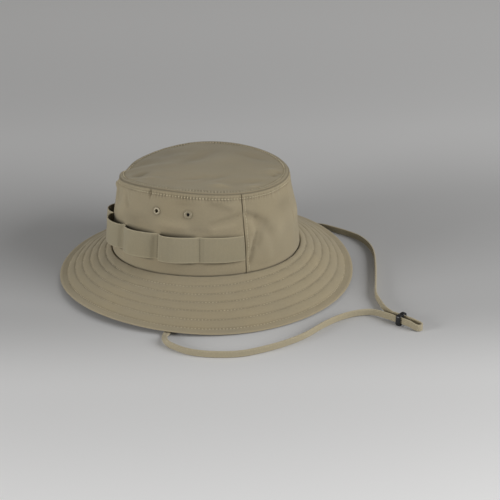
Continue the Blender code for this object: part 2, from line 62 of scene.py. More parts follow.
hinge = next(joint for joint in frame["joints"] if joint["name"] == "strap_swing")
DATUM = np.array([hinge["pos_m"][0] - PIVOT_X * MM, hinge["pos_m"][1], 0.0])

# ------------------------------------------------------------------ sizes of the hat
# Every *_WAVE is (cosine, sine) heights for one, two, three ... waves around the hat.
BRIM_HALF, BRIM_REST, BRIM_LIFT, BRIM_SOFT = (149.2, 150.0), 0.9, 1.9, 1.5
BRIM_WAVE = ((1.0, 2.1), (-4.2, 3.0))
BASE_HALF, BASE_Z, BASE_WAVE = (95.5, 90.9), 30.8, ((3.3, -0.3), (-1.8, -0.1))
TOP_HALF, TOP_Z, TOP_SHIFT = (83.2, 74.0), 108.0, -1.0
TOP_WAVE = ((3.0, -0.6), (-3.7, 0.0), (1.1, 0.2))
TIP_RISE, WALL_BULGE = 4.5, 1.6
HEM_FROM, HEM_FLAT = 0.86, 0.93  # spans where the brim eases off, and where it lies flat
PLY = 0.75  # crown cloth thickness

# nominal lengths, for patterns laid out on the cloth
WALL_TALL = 78.0
WALL_PER_DEG, BAND_PER_DEG, TIP_PER_DEG, VENT_PER_DEG = 1.58, 1.62, 1.40, 1.45

FRONT_SEAM = 46.0  # degrees either side of +X
REAR_SEAM = 180.0
SEAMS = (FRONT_SEAM, -FRONT_SEAM, REAR_SEAM)
WALL_STITCH, TIP_STITCH = 4.7, 4.3  # stitch rows, below and in from the top seam
TOP_PITCH = 3.3

# brim stitch rows, in from the edge
CHANNEL = 8.0
STITCH_ROWS = tuple(8.4 + CHANNEL * k for k in range(6))

BAND_SPAN = (0.178, 0.487)  # rises of the band's lower and upper edges
TACKS = (FRONT_SEAM, 74.0, 100.0, 132.0, 157.0, 180.0, 203.0, 232.0, 260.5, 286.5, 360 - FRONT_SEAM)
# each loop's slack, where its crown lies and how boxy it is
LOOPS = (
    (2.2, 1.0, 0.9), (3.4, 1.2, 0.8), (4.6, 0.8, 0.8), (6.0, 1.1, 0.8), (6.4, 0.95, 0.8),
    (6.6, 1.0, 0.75), (7.2, 0.95, 0.75), (6.2, 0.74, 1.05), (6.8, 0.62, 0.95), (2.0, 0.85, 0.85),
)
VENTS = {"rear": 102.0, "front": 81.0}  # degrees either side of +X
VENT_RISE = 0.745

# Low creases and dents in the wall: degrees, rise, half sizes in degrees and rise, a turn, and the
# depth (negative goes in), which WALL_RELIEF multiplies.
WALL_RELIEF = 1.5
WALL_DENTS = (
    (341.0, 0.46, 6.0, 0.120, -0.3, 0.9), (252.0, 0.945, 0.9, 0.050, 0.0, -1.6),
    (254.5, 0.93, 1.4, 0.050, 0.0, 0.5), (199.0, 0.955, 5.0, 0.030, 0.5, -3.2),
    (206.0, 0.90, 6.0, 0.040, -0.3, 1.3), (190.0, 0.87, 6.0, 0.060, 0.3, 1.0),
    (212.0, 0.80, 3.0, 0.110, 0.1, -0.9), (292.0, 0.90, 10.0, 0.030, 0.1, 0.7),
    (276.0, 0.86, 7.0, 0.030, 0.4, -0.8), (240.0, 0.60, 14.0, 0.080, 0.2, -1.2),
    (222.0, 0.66, 6.0, 0.110, -0.2, 0.9), (268.0, 0.60, 12.0, 0.060, -0.2, 0.8),
    (350.0, 0.72, 10.0, 0.100, 0.3, -1.4), (8.0, 0.50, 9.0, 0.110, -0.3, 1.2),
    (30.0, 0.62, 8.0, 0.090, 0.5, -1.6), (55.0, 0.70, 9.0, 0.050, -0.3, -1.4),
    (75.0, 0.58, 12.0, 0.070, 0.1, 1.0), (96.0, 0.88, 10.0, 0.045, 0.2, -1.3),
    (125.0, 0.64, 12.0, 0.070, -0.2, -1.4), (150.0, 0.82, 10.0, 0.055, 0.3, 1.2),
    (168.0, 0.62, 9.0, 0.080, 0.0, -1.2),
)
# Sharper folds: from and to as degrees and rise, then the half width and the depth, as above.
CREASES = (
    (294.0, 0.640, 302.0, 0.686, 2.4, -0.80), (305.0, 0.702, 311.5, 0.735, 2.6, -1.00),
    (291.0, 0.900, 304.5, 0.800, 3.8, -0.90), (295.0, 0.580, 305.0, 0.610, 4.2, 0.85),
    (304.0, 0.860, 311.0, 0.868, 3.6, 0.50), (317.0, 0.742, 322.0, 0.696, 2.8, -1.10),
    (324.5, 0.668, 329.5, 0.610, 4.0, -0.95), (325.5, 0.600, 332.0, 0.490, 5.6, -0.85),
    (317.8, 0.640, 319.5, 0.530, 3.6, 1.05), (321.8, 0.480, 319.0, 0.320, 2.6, -1.00),
    (318.2, 0.270, 316.2, 0.140, 2.6, -0.85), (324.5, 0.440, 322.5, 0.350, 3.2, -0.75),
    (317.6, 0.430, 316.8, 0.330, 1.9, 0.55), (328.5, 0.380, 330.5, 0.200, 5.5, 0.60),
    (229.0, 0.800, 231.5, 0.740, 3.0, -0.90), (283.0, 0.560, 290.0, 0.545, 3.2, -0.50),
    (262.0, 0.630, 274.0, 0.610, 5.0, 0.50),
)
# Dents in the tip: x, y, half length, half width, turn, and the depth, which TIP_RELIEF multiplies.
TIP_RELIEF = 2.5
TIP_DENTS = (
    (-54.0, -34.0, 7.0, 5.0, 0.6, -1.5), (-38.0, -47.0, 9.0, 3.5, -0.1, 0.9),
    (-56.0, -46.0, 5.0, 3.5, -0.3, 0.8), (-14.0, 16.0, 26.0, 7.0, 1.15, -0.7),
    (12.0, 22.0, 26.0, 13.0, 0.7, 0.6), (6.0, -36.0, 15.0, 4.0, 0.55, -0.8),
    (23.0, -30.0, 14.0, 4.0, 0.9, -0.7), (33.0, -45.0, 10.0, 4.0, 0.25, 1.1),
    (64.0, -32.0, 8.0, 4.0, 0.6, 0.9), (58.0, -24.0, 12.0, 3.5, 0.6, -0.7),
    (66.0, 12.0, 8.0, 5.0, 0.6, 0.8), (71.0, 2.0, 3.5, 2.5, 0.9, -0.9),
    (74.0, 9.0, 3.0, 2.0, -0.3, -0.8), (40.0, 38.0, 24.0, 5.0, -0.2, -0.4),
    (-50.0, 24.0, 24.0, 9.0, 0.7, -0.5),
)


# ------------------------------------------------------------------ small maths
def waves(angle, parts):
    return sum(
        cosine * np.cos(k * angle) + sine * np.sin(k * angle)
        for k, (cosine, sine) in enumerate(parts, start=1)
    )


def stack(x, y, z):
    x, y, z = np.broadcast_arrays(x, y, z)
    return np.stack([x, y, z], axis=-1).astype(float)


def unit(vectors):
    return vectors / np.maximum(np.linalg.norm(vectors, axis=-1, keepdims=True), 1e-12)


def smooth(x):
    x = np.clip(x, 0.0, 1.0)
    return x * x * (3 - 2 * x)


def bell(x, width):
    return np.exp(-((x / width) ** 2))


def quarter_round(x):
    """0 to 1 along a quarter circle, for edges that round off."""
    return np.sqrt(np.clip(1 - (1 - np.clip(x, 0, 1)) ** 2, 0, 1))


def degrees_from(deg, where):
    return (deg - where + 180) % 360 - 180


def seam_offset(angle, seam):
    """Millimetres round the wall from a seam."""
    return degrees_from(np.degrees(angle), seam) * WALL_PER_DEG


def girth_of(angle, per_degree=WALL_PER_DEG):
    return np.degrees(angle) % 360 * per_degree


def circle(count):
    """Angles all the way round, starting at the rear."""
    return np.linspace(0, 2 * np.pi, count + 1)[:-1] + np.pi


def ripple(x, y, seed, lengths):
    """Smooth, repeatable unevenness: a sum of three waves of each length."""
    rng = np.random.default_rng(seed)
    total = np.zeros(np.broadcast(x, y).shape)
    for length in lengths:
        for _ in range(3):
            turn, phase = rng.uniform(0, 2 * np.pi, 2)
            rate = 2 * np.pi / length
            total = total + np.sin(rate * (x * np.cos(turn) + y * np.sin(turn)) + phase)
    return total / (3 * len(lengths)) ** 0.5


WALL_TUCKS, TIP_TUCKS = 77, 78  # seeds


def tucks(girth, seed):
    """The beat of small tucks the top stitches pull into the cloth."""
    return np.sin(2 * np.pi * girth / TOP_PITCH + 1.5 * ripple(girth, 0.0, seed, (30.0, 50.0)))


def tuck_shade(girth, seed):
    """How dark the hollows between the tucks are."""
    beat = 0.5 + 0.5 * tucks(girth, seed)
    return (1 - beat) ** 1.5 * (0.7 + 0.4 * ripple(girth, 0.0, seed + 2, (20.0, 33.0)))


# ------------------------------------------------------------------ the hat's surfaces
def brim_edge(angle):
    lift = BRIM_LIFT + waves(angle, BRIM_WAVE)
    soft = 0.5 * (lift + np.sqrt(lift * lift + BRIM_SOFT**2))
    return stack(BRIM_HALF[0] * np.cos(angle), BRIM_HALF[1] * np.sin(angle), BRIM_REST + soft)


def crown_base(angle):
    z = BASE_Z + waves(angle, BASE_WAVE)
    return stack(BASE_HALF[0] * np.cos(angle), BASE_HALF[1] * np.sin(angle), z)


def crown_top(angle):
    full = 2.0 * np.cos(angle - 0.35) ** 2
    rear_dip = 3.4 * bell(degrees_from(np.degrees(angle), 181.0), 9.0)
    return stack(
        TOP_SHIFT + (TOP_HALF[0] + full) * np.cos(angle),
        (TOP_HALF[1] + full) * np.sin(angle),
        TOP_Z + waves(angle, TOP_WAVE) - rear_dip,
    )


def fall_profile():
    """The brim's height share against span: 1 at the crown, 0 at the flat edge."""
    span = np.linspace(0, 1, 401)
    slope = np.where(span < HEM_FROM, 0.85 + 0.30 * span / HEM_FROM, 0.35)
    slope = np.where(span > HEM_FLAT, 0.0, slope)
    run = np.concatenate([[0.0], np.cumsum((slope[1:] + slope[:-1]) / 2)])
    return span, 1 - run / run[-1]


FALL = fall_profile()


def brim_mid(angle, span):
    start = crown_base(angle) + stack(np.cos(angle), np.sin(angle), 0.0) * 0.25
    start[..., 2] -= 0.4
    end = brim_edge(angle)
    point = start + (end - start) * np.asarray(span)[..., None]
    point[..., 2] = end[..., 2] + (start[..., 2] - end[..., 2]) * np.interp(span, *FALL)
    return point


def brim_normal(angle, span):
    """Upward normal, eased to straight up beside the crown."""
    step = 1e-3
    outward = brim_mid(angle, np.clip(span + 0.03, 0, 1)) - brim_mid(
        angle, np.clip(span - 0.03, 0, 1)
    )
    round_way = brim_mid(angle + step, span) - brim_mid(angle - step, span)
    normal = unit(np.cross(outward, round_way))
    normal = np.where(normal[..., 2:] > 0, normal, -normal)
    mix = smooth(np.asarray(span) / 0.1)[..., None]
    return unit(normal * mix + np.array([0, 0, 1.0]) * (1 - mix))


def brim_width(angle):
    return np.linalg.norm((brim_edge(angle) - crown_base(angle))[..., :2], axis=-1)


def wall_mid(angle, rise):
    rise = np.asarray(rise, float)[..., None]
    flat = crown_base(angle) * (1 - rise) + crown_top(angle) * rise
    out = stack(np.cos(angle), np.sin(angle), 0.0)
    return flat + out * WALL_BULGE * 4 * rise * (1 - rise)


def wall_normal(angle, rise):
    step = 1e-3
    upward = wall_mid(angle, rise + 0.02) - wall_mid(angle, rise - 0.02)
    along = wall_mid(angle + step, rise) - wall_mid(angle - step, rise)
    return unit(np.cross(along, upward))


def wall_height(angle):
    return np.linalg.norm(crown_top(angle) - crown_base(angle), axis=-1)


def wall_at(angle, rise, off):
    """A point standing this far off the wall's smooth surface."""
    return wall_mid(angle, rise) + wall_normal(angle, rise) * np.asarray(off)[..., None]


def vent_distance(angle, rise):
    """Millimetres along the cloth to the nearest eyelet."""
    deg = np.degrees(angle) % 360
    away = 99.0
    for vent in VENTS.values():
        for where in (vent, 360 - vent):
            beside, above = (deg - where) * VENT_PER_DEG, (rise - VENT_RISE) * WALL_TALL
            away = np.minimum(away, np.hypot(beside, above))
    return away


def tip_dents(x, y):
    total = 0.0
    for middle_x, middle_y, long, wide, turn, depth in TIP_DENTS:
        along = (x - middle_x) * np.cos(turn) + (y - middle_y) * np.sin(turn)
        beside = -(x - middle_x) * np.sin(turn) + (y - middle_y) * np.cos(turn)
        total = total + TIP_RELIEF * depth * bell(along, long) * bell(beside, wide)
    return total


def wall_dents(angle, rise):
    deg = np.degrees(angle)
    total = np.zeros(np.broadcast(angle, rise).shape)
    for where, high, wide, tall, turn, depth in WALL_DENTS:
        x = degrees_from(deg, where)
        y = rise - high
        x, y = x + turn * y * 60, y - turn * x / 140
        total = total + WALL_RELIEF * depth * bell(x, wide) * bell(y, tall)
    for from_deg, from_rise, to_deg, to_rise, wide, depth in CREASES:
        along = np.array([(to_deg - from_deg) * WALL_PER_DEG, (to_rise - from_rise) * WALL_TALL])
        reach = np.hypot(*along)
        along = along / reach
        x = degrees_from(deg, from_deg) * WALL_PER_DEG
        y = (rise - from_rise) * WALL_TALL
        run, beside = x * along[0] + y * along[1], y * along[0] - x * along[1]
        past = np.maximum(np.maximum(-run, run - reach), 0.0)
        total = total + WALL_RELIEF * depth * bell(beside, wide) * bell(past, 1.3 * wide)
    return total


def seam_puff(angle, above):
    """The cloth rolling in at each upright seam, with a ridge beside it and pulls around it."""
    total = 0.0
    for seam in SEAMS:
        x = seam_offset(angle, seam)
        # the ridge lies on the front panel's side; at the rear it lies on both
        ridge_side = np.abs(x) if seam == REAR_SEAM else (-x if seam > 0 else x)
        total = total - 0.9 * (1 - smooth(np.abs(x) / 0.7))
        total = total + 0.16 * smooth(ridge_side / 0.9) * (1 - smooth((ridge_side - 2.6) / 1.1))
        total = total + 0.22 * bell(x, 7.0) * ripple(x * 0.3, above, 9, (7.0, 10.0, 15.0))
    return total


def wall_puff(angle, rise):
    """How far the cloth's outer face stands off its smooth surface."""
    tall = wall_height(angle)
    below, above = (1 - rise) * tall, rise * tall
    girth = girth_of(angle)
    # the top seam: a ridge, the cloth rolling in above it, and the stitched valley with its tucks
    ridge = 0.36 * smooth(below / 1.3) * (1 - smooth((below - 3.6) / 1.2))
    roll = -1.7 * (1 - smooth(below / 1.1))
    valley = -0.24 * bell(below - WALL_STITCH, 0.6)
    tick = 0.36 * bell(below - 5.0, 2.1) * tucks(girth, WALL_TUCKS)
    gather_in = bell(below - 5.5, 4.5) * smooth(below / 2)
    gather = 0.20 * gather_in * ripple(girth, below * 0.12, 5, (5.5, 7.5, 9.0))
    foot = -0.9 * (1 - smooth(above / 1.2))
    seam = seam_puff(angle, above)
    eyelet_dip = -0.42 * bell(vent_distance(angle, rise), 4.8)
    drape = wall_dents(angle, rise) * smooth(below / 2.5) * smooth(above / 5)
    fade = smooth(below / 5) * smooth(above / 6)
    drape = drape + 0.34 * fade * ripple(girth, above, 3, (26.0, 40.0, 60.0))
    return ridge + roll + valley + tick + gather + foot + (seam + eyelet_dip) + drape


# ------------------------------------------------------------------ mesh helpers
def place(points):
    return np.asarray(points, float) * MM + DATUM


def outward(verts, faces):
    """The faces, reversed if they enclose a negative volume."""
    centred = verts - verts.mean(axis=0)
    quads = faces if faces.shape[1] == 4 else np.column_stack([faces, faces[:, -1]])
    first, second, third, fourth = (centred[quads[:, k]] for k in range(4))
    volume = np.einsum("ij,ij->i", first, np.cross(second, third))
    volume = volume + np.einsum("ij,ij->i", first, np.cross(third, fourth))
    return faces[:, ::-1] if volume.sum() < 0 else faces


def build(name, verts, faces, materials, attrs=None, slots=None):
    """A smooth mesh object from millimetre points and equal-length faces.

    Without material slots for its faces, it is one body and is turned outwards.
    """
    verts, faces = np.asarray(verts, float), np.asarray(faces, int)
    if slots is None:
        faces = outward(verts, faces)
    mesh = bpy.data.meshes.new(name)
    mesh.vertices.add(len(verts))
    mesh.vertices.foreach_set("co", place(verts).ravel())
    sides = faces.shape[1]
    mesh.loops.add(faces.size)
    mesh.loops.foreach_set("vertex_index", faces.ravel().astype(np.int32))
    mesh.polygons.add(len(faces))
    mesh.polygons.foreach_set("loop_start", (np.arange(len(faces)) * sides).astype(np.int32))
    if slots is not None:
        mesh.polygons.foreach_set("material_index", np.asarray(slots, np.int32))
    for key, values in (attrs or {}).items():
        values = np.asarray(values, np.float32)
        if values.ndim == 2:
            layer = mesh.attributes.new(key, "FLOAT_VECTOR", "POINT")
            layer.data.foreach_set("vector", values.ravel())
        else:
            layer = mesh.attributes.new(key, "FLOAT", "POINT")
            layer.data.foreach_set("value", values.ravel())
    mesh.update(calc_edges=True)
    mesh.validate()
    mesh.shade_smooth()
    for material in materials:
        mesh.materials.append(material)
    made = bpy.data.objects.new(name, mesh)
    bpy.context.scene.collection.objects.link(made)
    return made


def finish(piece, slot, *nodes, body="hat"):
    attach(piece, body)
    if nodes:
        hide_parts(*nodes)


def shell(outer, inner, closed):
    """Closed body between two grids (stations x rows x 3)."""
    stations, rows = outer.shape[:2]
    verts = np.concatenate([outer.reshape(-1, 3), inner.reshape(-1, 3)])
    i = np.arange(stations if closed else stations - 1)[:, None]
    j = np.arange(rows - 1)[None, :]
    after = (i + 1) % stations
    last, end = rows - 1, stations - 1

    def face_out(station, row):
        return station * rows + row

    def face_in(station, row):
        return stations * rows + station * rows + row

    def quads(*corners):
        return np.stack(corners, -1).reshape(-1, 4)

    groups = [
        quads(face_out(i, j), face_out(after, j), face_out(after, j + 1), face_out(i, j + 1)),
        quads(face_in(i, j), face_in(i, j + 1), face_in(after, j + 1), face_in(after, j)),
        quads(face_out(i, 0), face_in(i, 0), face_in(after, 0), face_out(after, 0)),
        quads(face_out(i, last), face_out(after, last), face_in(after, last), face_in(i, last)),
    ]
    if not closed:
        k = np.arange(rows - 1)
        groups += [
            quads(face_out(0, k), face_out(0, k + 1), face_in(0, k + 1), face_in(0, k)),
            quads(face_out(end, k), face_in(end, k), face_in(end, k + 1), face_out(end, k + 1)),
        ]
    return verts, np.concatenate(groups)


def tube_faces(stations, around, closed=True):
    """Quads of a tube whose points run around each station in turn."""
    rows = np.arange(stations if closed else stations - 1)
    i, j = np.meshgrid(rows, np.arange(around), indexing="ij")
    next_i, next_j = (i + 1) % stations, (j + 1) % around
    corners = ((i, j), (next_i, j), (next_i, next_j), (i, next_j))
    return np.stack([row * around + column for row, column in corners], -1).reshape(-1, 4)


# One stitch: share of its length, fatness, and height in radii. Both ends dip into the cloth.
STITCH = ((0.0, 0.30, -0.9), (0.12, 0.75, -0.15), (0.5, 1.0, 0.35), (0.88, 0.75, -0.15), (1.0, 0.30, -0.9))
STITCH_SIDES = 6


def stitches(points, normals, radius=0.26, length=2.3, pitch=3.1, lift=0.10):
    """Short rounded stitches of thread along a path."""
    points, normals = np.asarray(points, float), unit(np.asarray(normals, float))
    steps = np.linalg.norm(np.diff(points, axis=0), axis=1)
    run = np.concatenate([[0], np.cumsum(steps)])
    verts, faces = [], []

    def along(rows, where):
        return np.array([np.interp(where, run, rows[:, k]) for k in range(3)])

    for start in np.arange(0.4, run[-1] - length, pitch):
        base = len(verts)
        for share, fat, high in STITCH:
            where = start + share * length
            centre = along(points, where)
            ahead = unit(along(points, where + 0.3) - along(points, where - 0.3))
            over = unit(along(normals, where))
            side = unit(np.cross(ahead, over))
            for q in range(STITCH_SIDES):
                turn = 2 * np.pi * q / STITCH_SIDES
                high_at = lift + high * radius + np.sin(turn) * radius * fat * 0.8
                verts.append(centre + over * high_at + side * np.cos(turn) * radius * fat)
        for k in range(len(STITCH) - 1):
            here, ahead_of = base + k * STITCH_SIDES, base + (k + 1) * STITCH_SIDES
            for q in range(STITCH_SIDES):
                beside = (q + 1) % STITCH_SIDES
                faces.append((here + q, here + beside, ahead_of + beside, ahead_of + q))
        faces.append((base + 3, base + 2, base + 1, base))
        faces.append((base + 5, base + 4, base + 3, base))
        last = base + (len(STITCH) - 1) * STITCH_SIDES
        faces.append((last, last + 1, last + 2, last + 3))
        faces.append((last, last + 3, last + 4, last + 5))
    return np.array(verts), np.array(faces, int)


def join(parts):
    """One vertex and face list from several."""
    verts, faces, base = [], [], 0
    for part_verts, part_faces in parts:
        verts.append(part_verts)
        faces.append(part_faces + base)
        base += len(part_verts)
    return np.concatenate(verts), np.concatenate(faces)


def grain_of(across, along):
    """Cloth directions in millimetres, for the weave."""
    across, along = np.broadcast_arrays(across, along)
    return np.stack([across, along, across * 0], axis=-1).reshape(-1, 3)


def shell_attrs(across, along, wear_and_shade, wear_and_shade_inside=None):
    """Grain, rubbed pale edges and painted shade and light, for both faces of a shell."""
    inside = wear_and_shade if wear_and_shade_inside is None else wear_and_shade_inside
    return {
        "grain": np.concatenate([grain_of(across, along)] * 2),
        "wear_and_shade": np.concatenate([wear_and_shade.ravel(), inside.ravel()]),
    }


def thread_piece(name, parts, material, wear_and_shade, slot):
    verts, faces = join(parts)
    attrs = {"grain": verts, "wear_and_shade": np.full(len(verts), wear_and_shade)}
    piece = build(name, verts, faces, [material], attrs, slots=np.zeros(len(faces)))
    finish(piece, slot)


# ------------------------------------------------------------------ materials
def new_material(name):
    made = bpy.data.materials.new(name)
    made.use_nodes = True
    return made, made.node_tree, made.node_tree.nodes["Principled BSDF"]


def noise_node(tree, where, scale, detail):
    noise = tree.nodes.new("ShaderNodeTexNoise")
    noise.inputs["Scale"].default_value = scale
    noise.inputs["Detail"].default_value = detail
    tree.links.new(where.outputs["Object"], noise.inputs["Vector"])
    return noise.outputs[0]


def add_bump(tree, shader, height, strength, distance):
    bump = tree.nodes.new("ShaderNodeBump")
    bump.inputs["Strength"].default_value = strength
    bump.inputs["Distance"].default_value = distance
    tree.links.new(height, bump.inputs["Height"])
    tree.links.new(bump.outputs[0], shader.inputs["Normal"])


def cloth(name, colour, weave="twill", pitch=0.62, bump=0.35, rough=0.86, vary=0.10, wear_and_shade=0.16):
    """Woven cloth: threads along the grain, slow colour drift, paler where rubbed, and painted shade and
    light.
    """
    made, tree, shader = new_material(name)
    new, link = tree.nodes.new, tree.links.new

    def math(kind, *operands):
        node = new("ShaderNodeMath")
        node.operation = kind
        for k, operand in enumerate(operands):
            if isinstance(operand, (int, float)):
                node.inputs[k].default_value = operand
            else:
                link(operand, node.inputs[k])
        return node.outputs[0]

    def wave(signal, rate):
        return math("SINE", math("MULTIPLY", signal, rate))

    # thread height, around 0.5
    grain = new("ShaderNodeAttribute")
    grain.attribute_name = "grain"
    split = new("ShaderNodeSeparateXYZ")
    link(grain.outputs["Vector"], split.inputs[0])
    across, along = split.outputs[0], split.outputs[1]
    rate = 2 * np.pi / pitch
    if weave == "twill":
        diagonal = wave(math("ADD", across, along), rate * 0.8)
        threads = wave(math("SUBTRACT", across, along), rate * 1.7)
        ribs = math("MULTIPLY", diagonal, 0.35)
        height = math("ADD", ribs, math("MULTIPLY_ADD", threads, 0.15, 0.5))
    elif weave == "rib":
        ribs = wave(across, rate)
        cross = wave(along, rate * 1.6)
        ribs = math("MULTIPLY", ribs, 0.38)
        height = math("ADD", ribs, math("MULTIPLY_ADD", cross, 0.12, 0.5))
    else:
        checks = math("MULTIPLY", wave(across, rate), wave(along, rate))
        height = math("MULTIPLY_ADD", checks, 0.45, 0.5)

    where = new("ShaderNodeTexCoord")
    slow = noise_node(tree, where, scale=26.0, detail=3.0)
    fine = noise_node(tree, where, scale=900.0, detail=2.0)
    # one attribute carries the cloth's real wear and the shade and light painted onto it
    wear_and_shade_node = new("ShaderNodeAttribute")
    wear_and_shade_node.attribute_name = "wear_and_shade"
    # brightness: threads, then slow drift, fine fuzz, and wear with painted shade and light, each as gain
    # and base
    shade = math("MULTIPLY_ADD", height, 0.16, 0.92)
    shade = math("MULTIPLY", shade, math("MULTIPLY_ADD", slow, vary, 1 - vary / 2))
    shade = math("MULTIPLY", shade, math("MULTIPLY_ADD", fine, 0.22, 0.89))
    shade = math("MULTIPLY", shade, math("MULTIPLY_ADD", wear_and_shade_node.outputs["Fac"], wear_and_shade, 1.0))
    # the drift also warms the colour
    red, green, blue = colour
    tint = new("ShaderNodeMix")
    tint.data_type = "RGBA"
    tint.inputs["A"].default_value = (*colour, 1)
    tint.inputs["B"].default_value = (red * 1.05, green, blue * 0.90, 1)
    link(slow, tint.inputs["Factor"])
    scale = new("ShaderNodeVectorMath")
    scale.operation = "SCALE"
    link(tint.outputs["Result"], scale.inputs[0])
    link(shade, scale.inputs["Scale"])
    link(scale.outputs[0], shader.inputs["Base Color"])
    # roughness spreads 0.07 either side
    link(math("MULTIPLY_ADD", fine, 0.14, rough - 0.07), shader.inputs["Roughness"])
    relief = math("ADD", height, math("MULTIPLY", fine, 0.5))
    add_bump(tree, shader, relief, strength=bump, distance=0.00012)
    shader.inputs["Sheen Weight"].default_value = 0.25
    shader.inputs["Sheen Roughness"].default_value = 0.6
    shader.inputs["Sheen Tint"].default_value = (0.9, 0.85, 0.72, 1)
    shader.inputs["Specular IOR Level"].default_value = 0.22
    return made


def solid(name, colour, rough, metal=0.0, grit=1500.0, bump=0.15, coat=0.0):
    """Painted metal or moulded plastic with fine grit and uneven sheen."""
    made, tree, shader = new_material(name)
    new, link = tree.nodes.new, tree.links.new
    colour_vary, rough_vary = 0.12, 0.08
    noise = noise_node(tree, new("ShaderNodeTexCoord"), scale=grit, detail=4.0)
    ramp = new("ShaderNodeValToRGB")
    low = tuple(part * (1 - colour_vary) for part in colour)
    high = tuple(min(1, part * (1 + colour_vary)) for part in colour)
    ramp.color_ramp.elements[0].color = (*low, 1)
    ramp.color_ramp.elements[1].color = (*high, 1)
    link(noise, ramp.inputs[0])
    link(ramp.outputs[0], shader.inputs["Base Color"])
    spread = new("ShaderNodeMapRange")
    spread.inputs["To Min"].default_value = rough - rough_vary
    spread.inputs["To Max"].default_value = rough + rough_vary
    link(noise, spread.inputs["Value"])
    link(spread.outputs[0], shader.inputs["Roughness"])
    add_bump(tree, shader, noise, strength=bump, distance=0.0001)
    shader.inputs["Metallic"].default_value = metal
    shader.inputs["Coat Weight"].default_value = coat
    return made


SHELL = cloth("shell_cloth", (0.291, 0.251, 0.172))
# no piece wears this one
cloth("under_cloth", (0.290, 0.245, 0.162), bump=0.3)
WEBBING = cloth(
    "band_webbing", (0.266, 0.238, 0.168), weave="rib", pitch=1.15, bump=0.55, vary=0.06, wear_and_shade=0.22
)
STRAP = cloth("strap_cloth", (0.365, 0.325, 0.232), bump=0.35, wear_and_shade=0.12)
SWEAT = cloth("sweatband_cloth", (0.235, 0.200, 0.135), weave="plain", pitch=0.8, bump=0.4)
TAPE = cloth("binding_tape", (0.265, 0.225, 0.150), weave="rib", pitch=0.9, bump=0.4)
LABEL = cloth("label_tape", (0.62, 0.60, 0.54), weave="plain", pitch=0.6, bump=0.3, vary=0.05)
THREAD = cloth(
    "thread", (0.50, 0.445, 0.32), weave="plain", pitch=0.35, bump=0.5, rough=0.7, vary=0.08
)
THREAD_DARK = cloth(
    "thread_dark", (0.150, 0.128, 0.085), weave="plain", pitch=0.35, bump=0.5, rough=0.75, vary=0.08
)
VENT = solid("eyelet_paint", (0.285, 0.245, 0.165), rough=0.48, metal=0.25, coat=0.10)
PLASTIC = solid("slider_plastic", (0.010, 0.010, 0.011), rough=0.34, grit=900.0, bump=0.10)

# the camera's level right, the side the key light comes from, along which light and shade are painted onto
# the cloth: forwards and a little to the left
LIT_SIDE_X, LIT_SIDE_Y = 0.932, 0.362


# ------------------------------------------------------------------ brim
def row_distance(inset):
    """Distance to the nearest stitched row."""
    return np.abs(inset[..., None] - np.array(STITCH_ROWS)).min(axis=-1)


def brim_puff(angle, span, under):
    """Quilted channels between the stitched rows, measured in from the edge."""
    width = brim_width(angle)
    inset = (1 - span) * width
    girth = angle * 122.0
    first, last = STITCH_ROWS[0], STITCH_ROWS[-1]
    channel = np.abs(np.sin(np.pi * np.clip((inset - first) / CHANNEL, 0, None))) ** 0.50
    tall = 0.60 if under else 0.86 + 0.30 * np.cos(angle + 0.25) ** 2
    puff = np.where(inset < first, 0.0, tall * channel)
    # the inmost channel runs on to the crown
    run_in = np.clip((inset - last) / np.maximum(width - last, 1.0), 0, 1)
    puff = np.where(inset > last, tall * np.sin(np.pi * run_in) ** 0.62, puff)
    hem = np.clip(inset / first, 0, 1)
    puff = np.where(inset < first, 0.50 * np.sin(np.pi * hem**0.8) ** 0.6, puff)
    near = row_distance(inset)
    pucker = 0.17 * bell(near, 1.6) * ripple(girth, inset * 0.5, 21 + under, (3.4, 4.6, 7.0))
    slow = 0.16 * ripple(girth, inset * 1.6, 31, (18.0, 27.0, 44.0)) * smooth(inset / 10)
    groove = -0.26 * bell(near, 0.55)
    return puff + pucker + slow + groove


def brim_sheet(angle, span, under=False):
    """A face of the brim: its two plies close together at the edge and at the crown."""
    width = brim_width(angle)
    inset = (1 - span) * width
    thick = (0.50 + 0.35 * smooth((inset - 6) / 5)) * quarter_round(inset / 1.15)
    off = thick + brim_puff(angle, span, under) * smooth(inset / 3.0)
    mid, normal = brim_mid(angle, span), brim_normal(angle, span)
    if under:
        point = mid - normal * (off * 0.85)[..., None]
        point[..., 2] = np.maximum(point[..., 2], 0.02)
        return point
    tuck = -0.5 * (1 - smooth(span * width / 1.6))
    return mid + normal * (off + tuck)[..., None]


def make_brim():
    even = np.linspace(0, 1, 84)
    edge = 1 - np.array([1.0, 0.75, 0.5, 0.28, 0.12, 0.03]) / 55.0
    spans = np.unique(np.concatenate([even[even < edge[0] - 0.004], edge, [1.0]]))
    angle, span = np.meshgrid(circle(1000), spans, indexing="ij")
    top, low = brim_sheet(angle, span), brim_sheet(angle, span, under=True)
    verts, faces = shell(top, low, True)
    width = brim_width(angle)
    inset = (1 - span) * width
    x, y = top[..., 0], top[..., 1]
    wear_and_shade = bell(inset, 1.8)
    # painted light: paler towards the front, on the camera's right, and a little towards the back, partly
    # standing for sun fading
    wear_and_shade = wear_and_shade + 0.75 * smooth((LIT_SIDE_X * x + LIT_SIDE_Y * y - 10) / 110)
    wear_and_shade = wear_and_shade + 0.25 * smooth((-LIT_SIDE_X * x - LIT_SIDE_Y * y - 20) / 100)
    # painted shade in the stitched rows and in the corner beside the crown
    wear_and_shade = wear_and_shade - 1.8 * bell(row_distance(inset), 0.55) - 1.4 * bell(span * width, 0.7)
    attrs = shell_attrs(angle * 150.0, inset, wear_and_shade)
    brim = build("brim_cloth", verts, faces, [SHELL], attrs)
    finish(brim, "shell_fabric", "brim_upper_ply", "brim_lower_ply", "brim_stiffener")


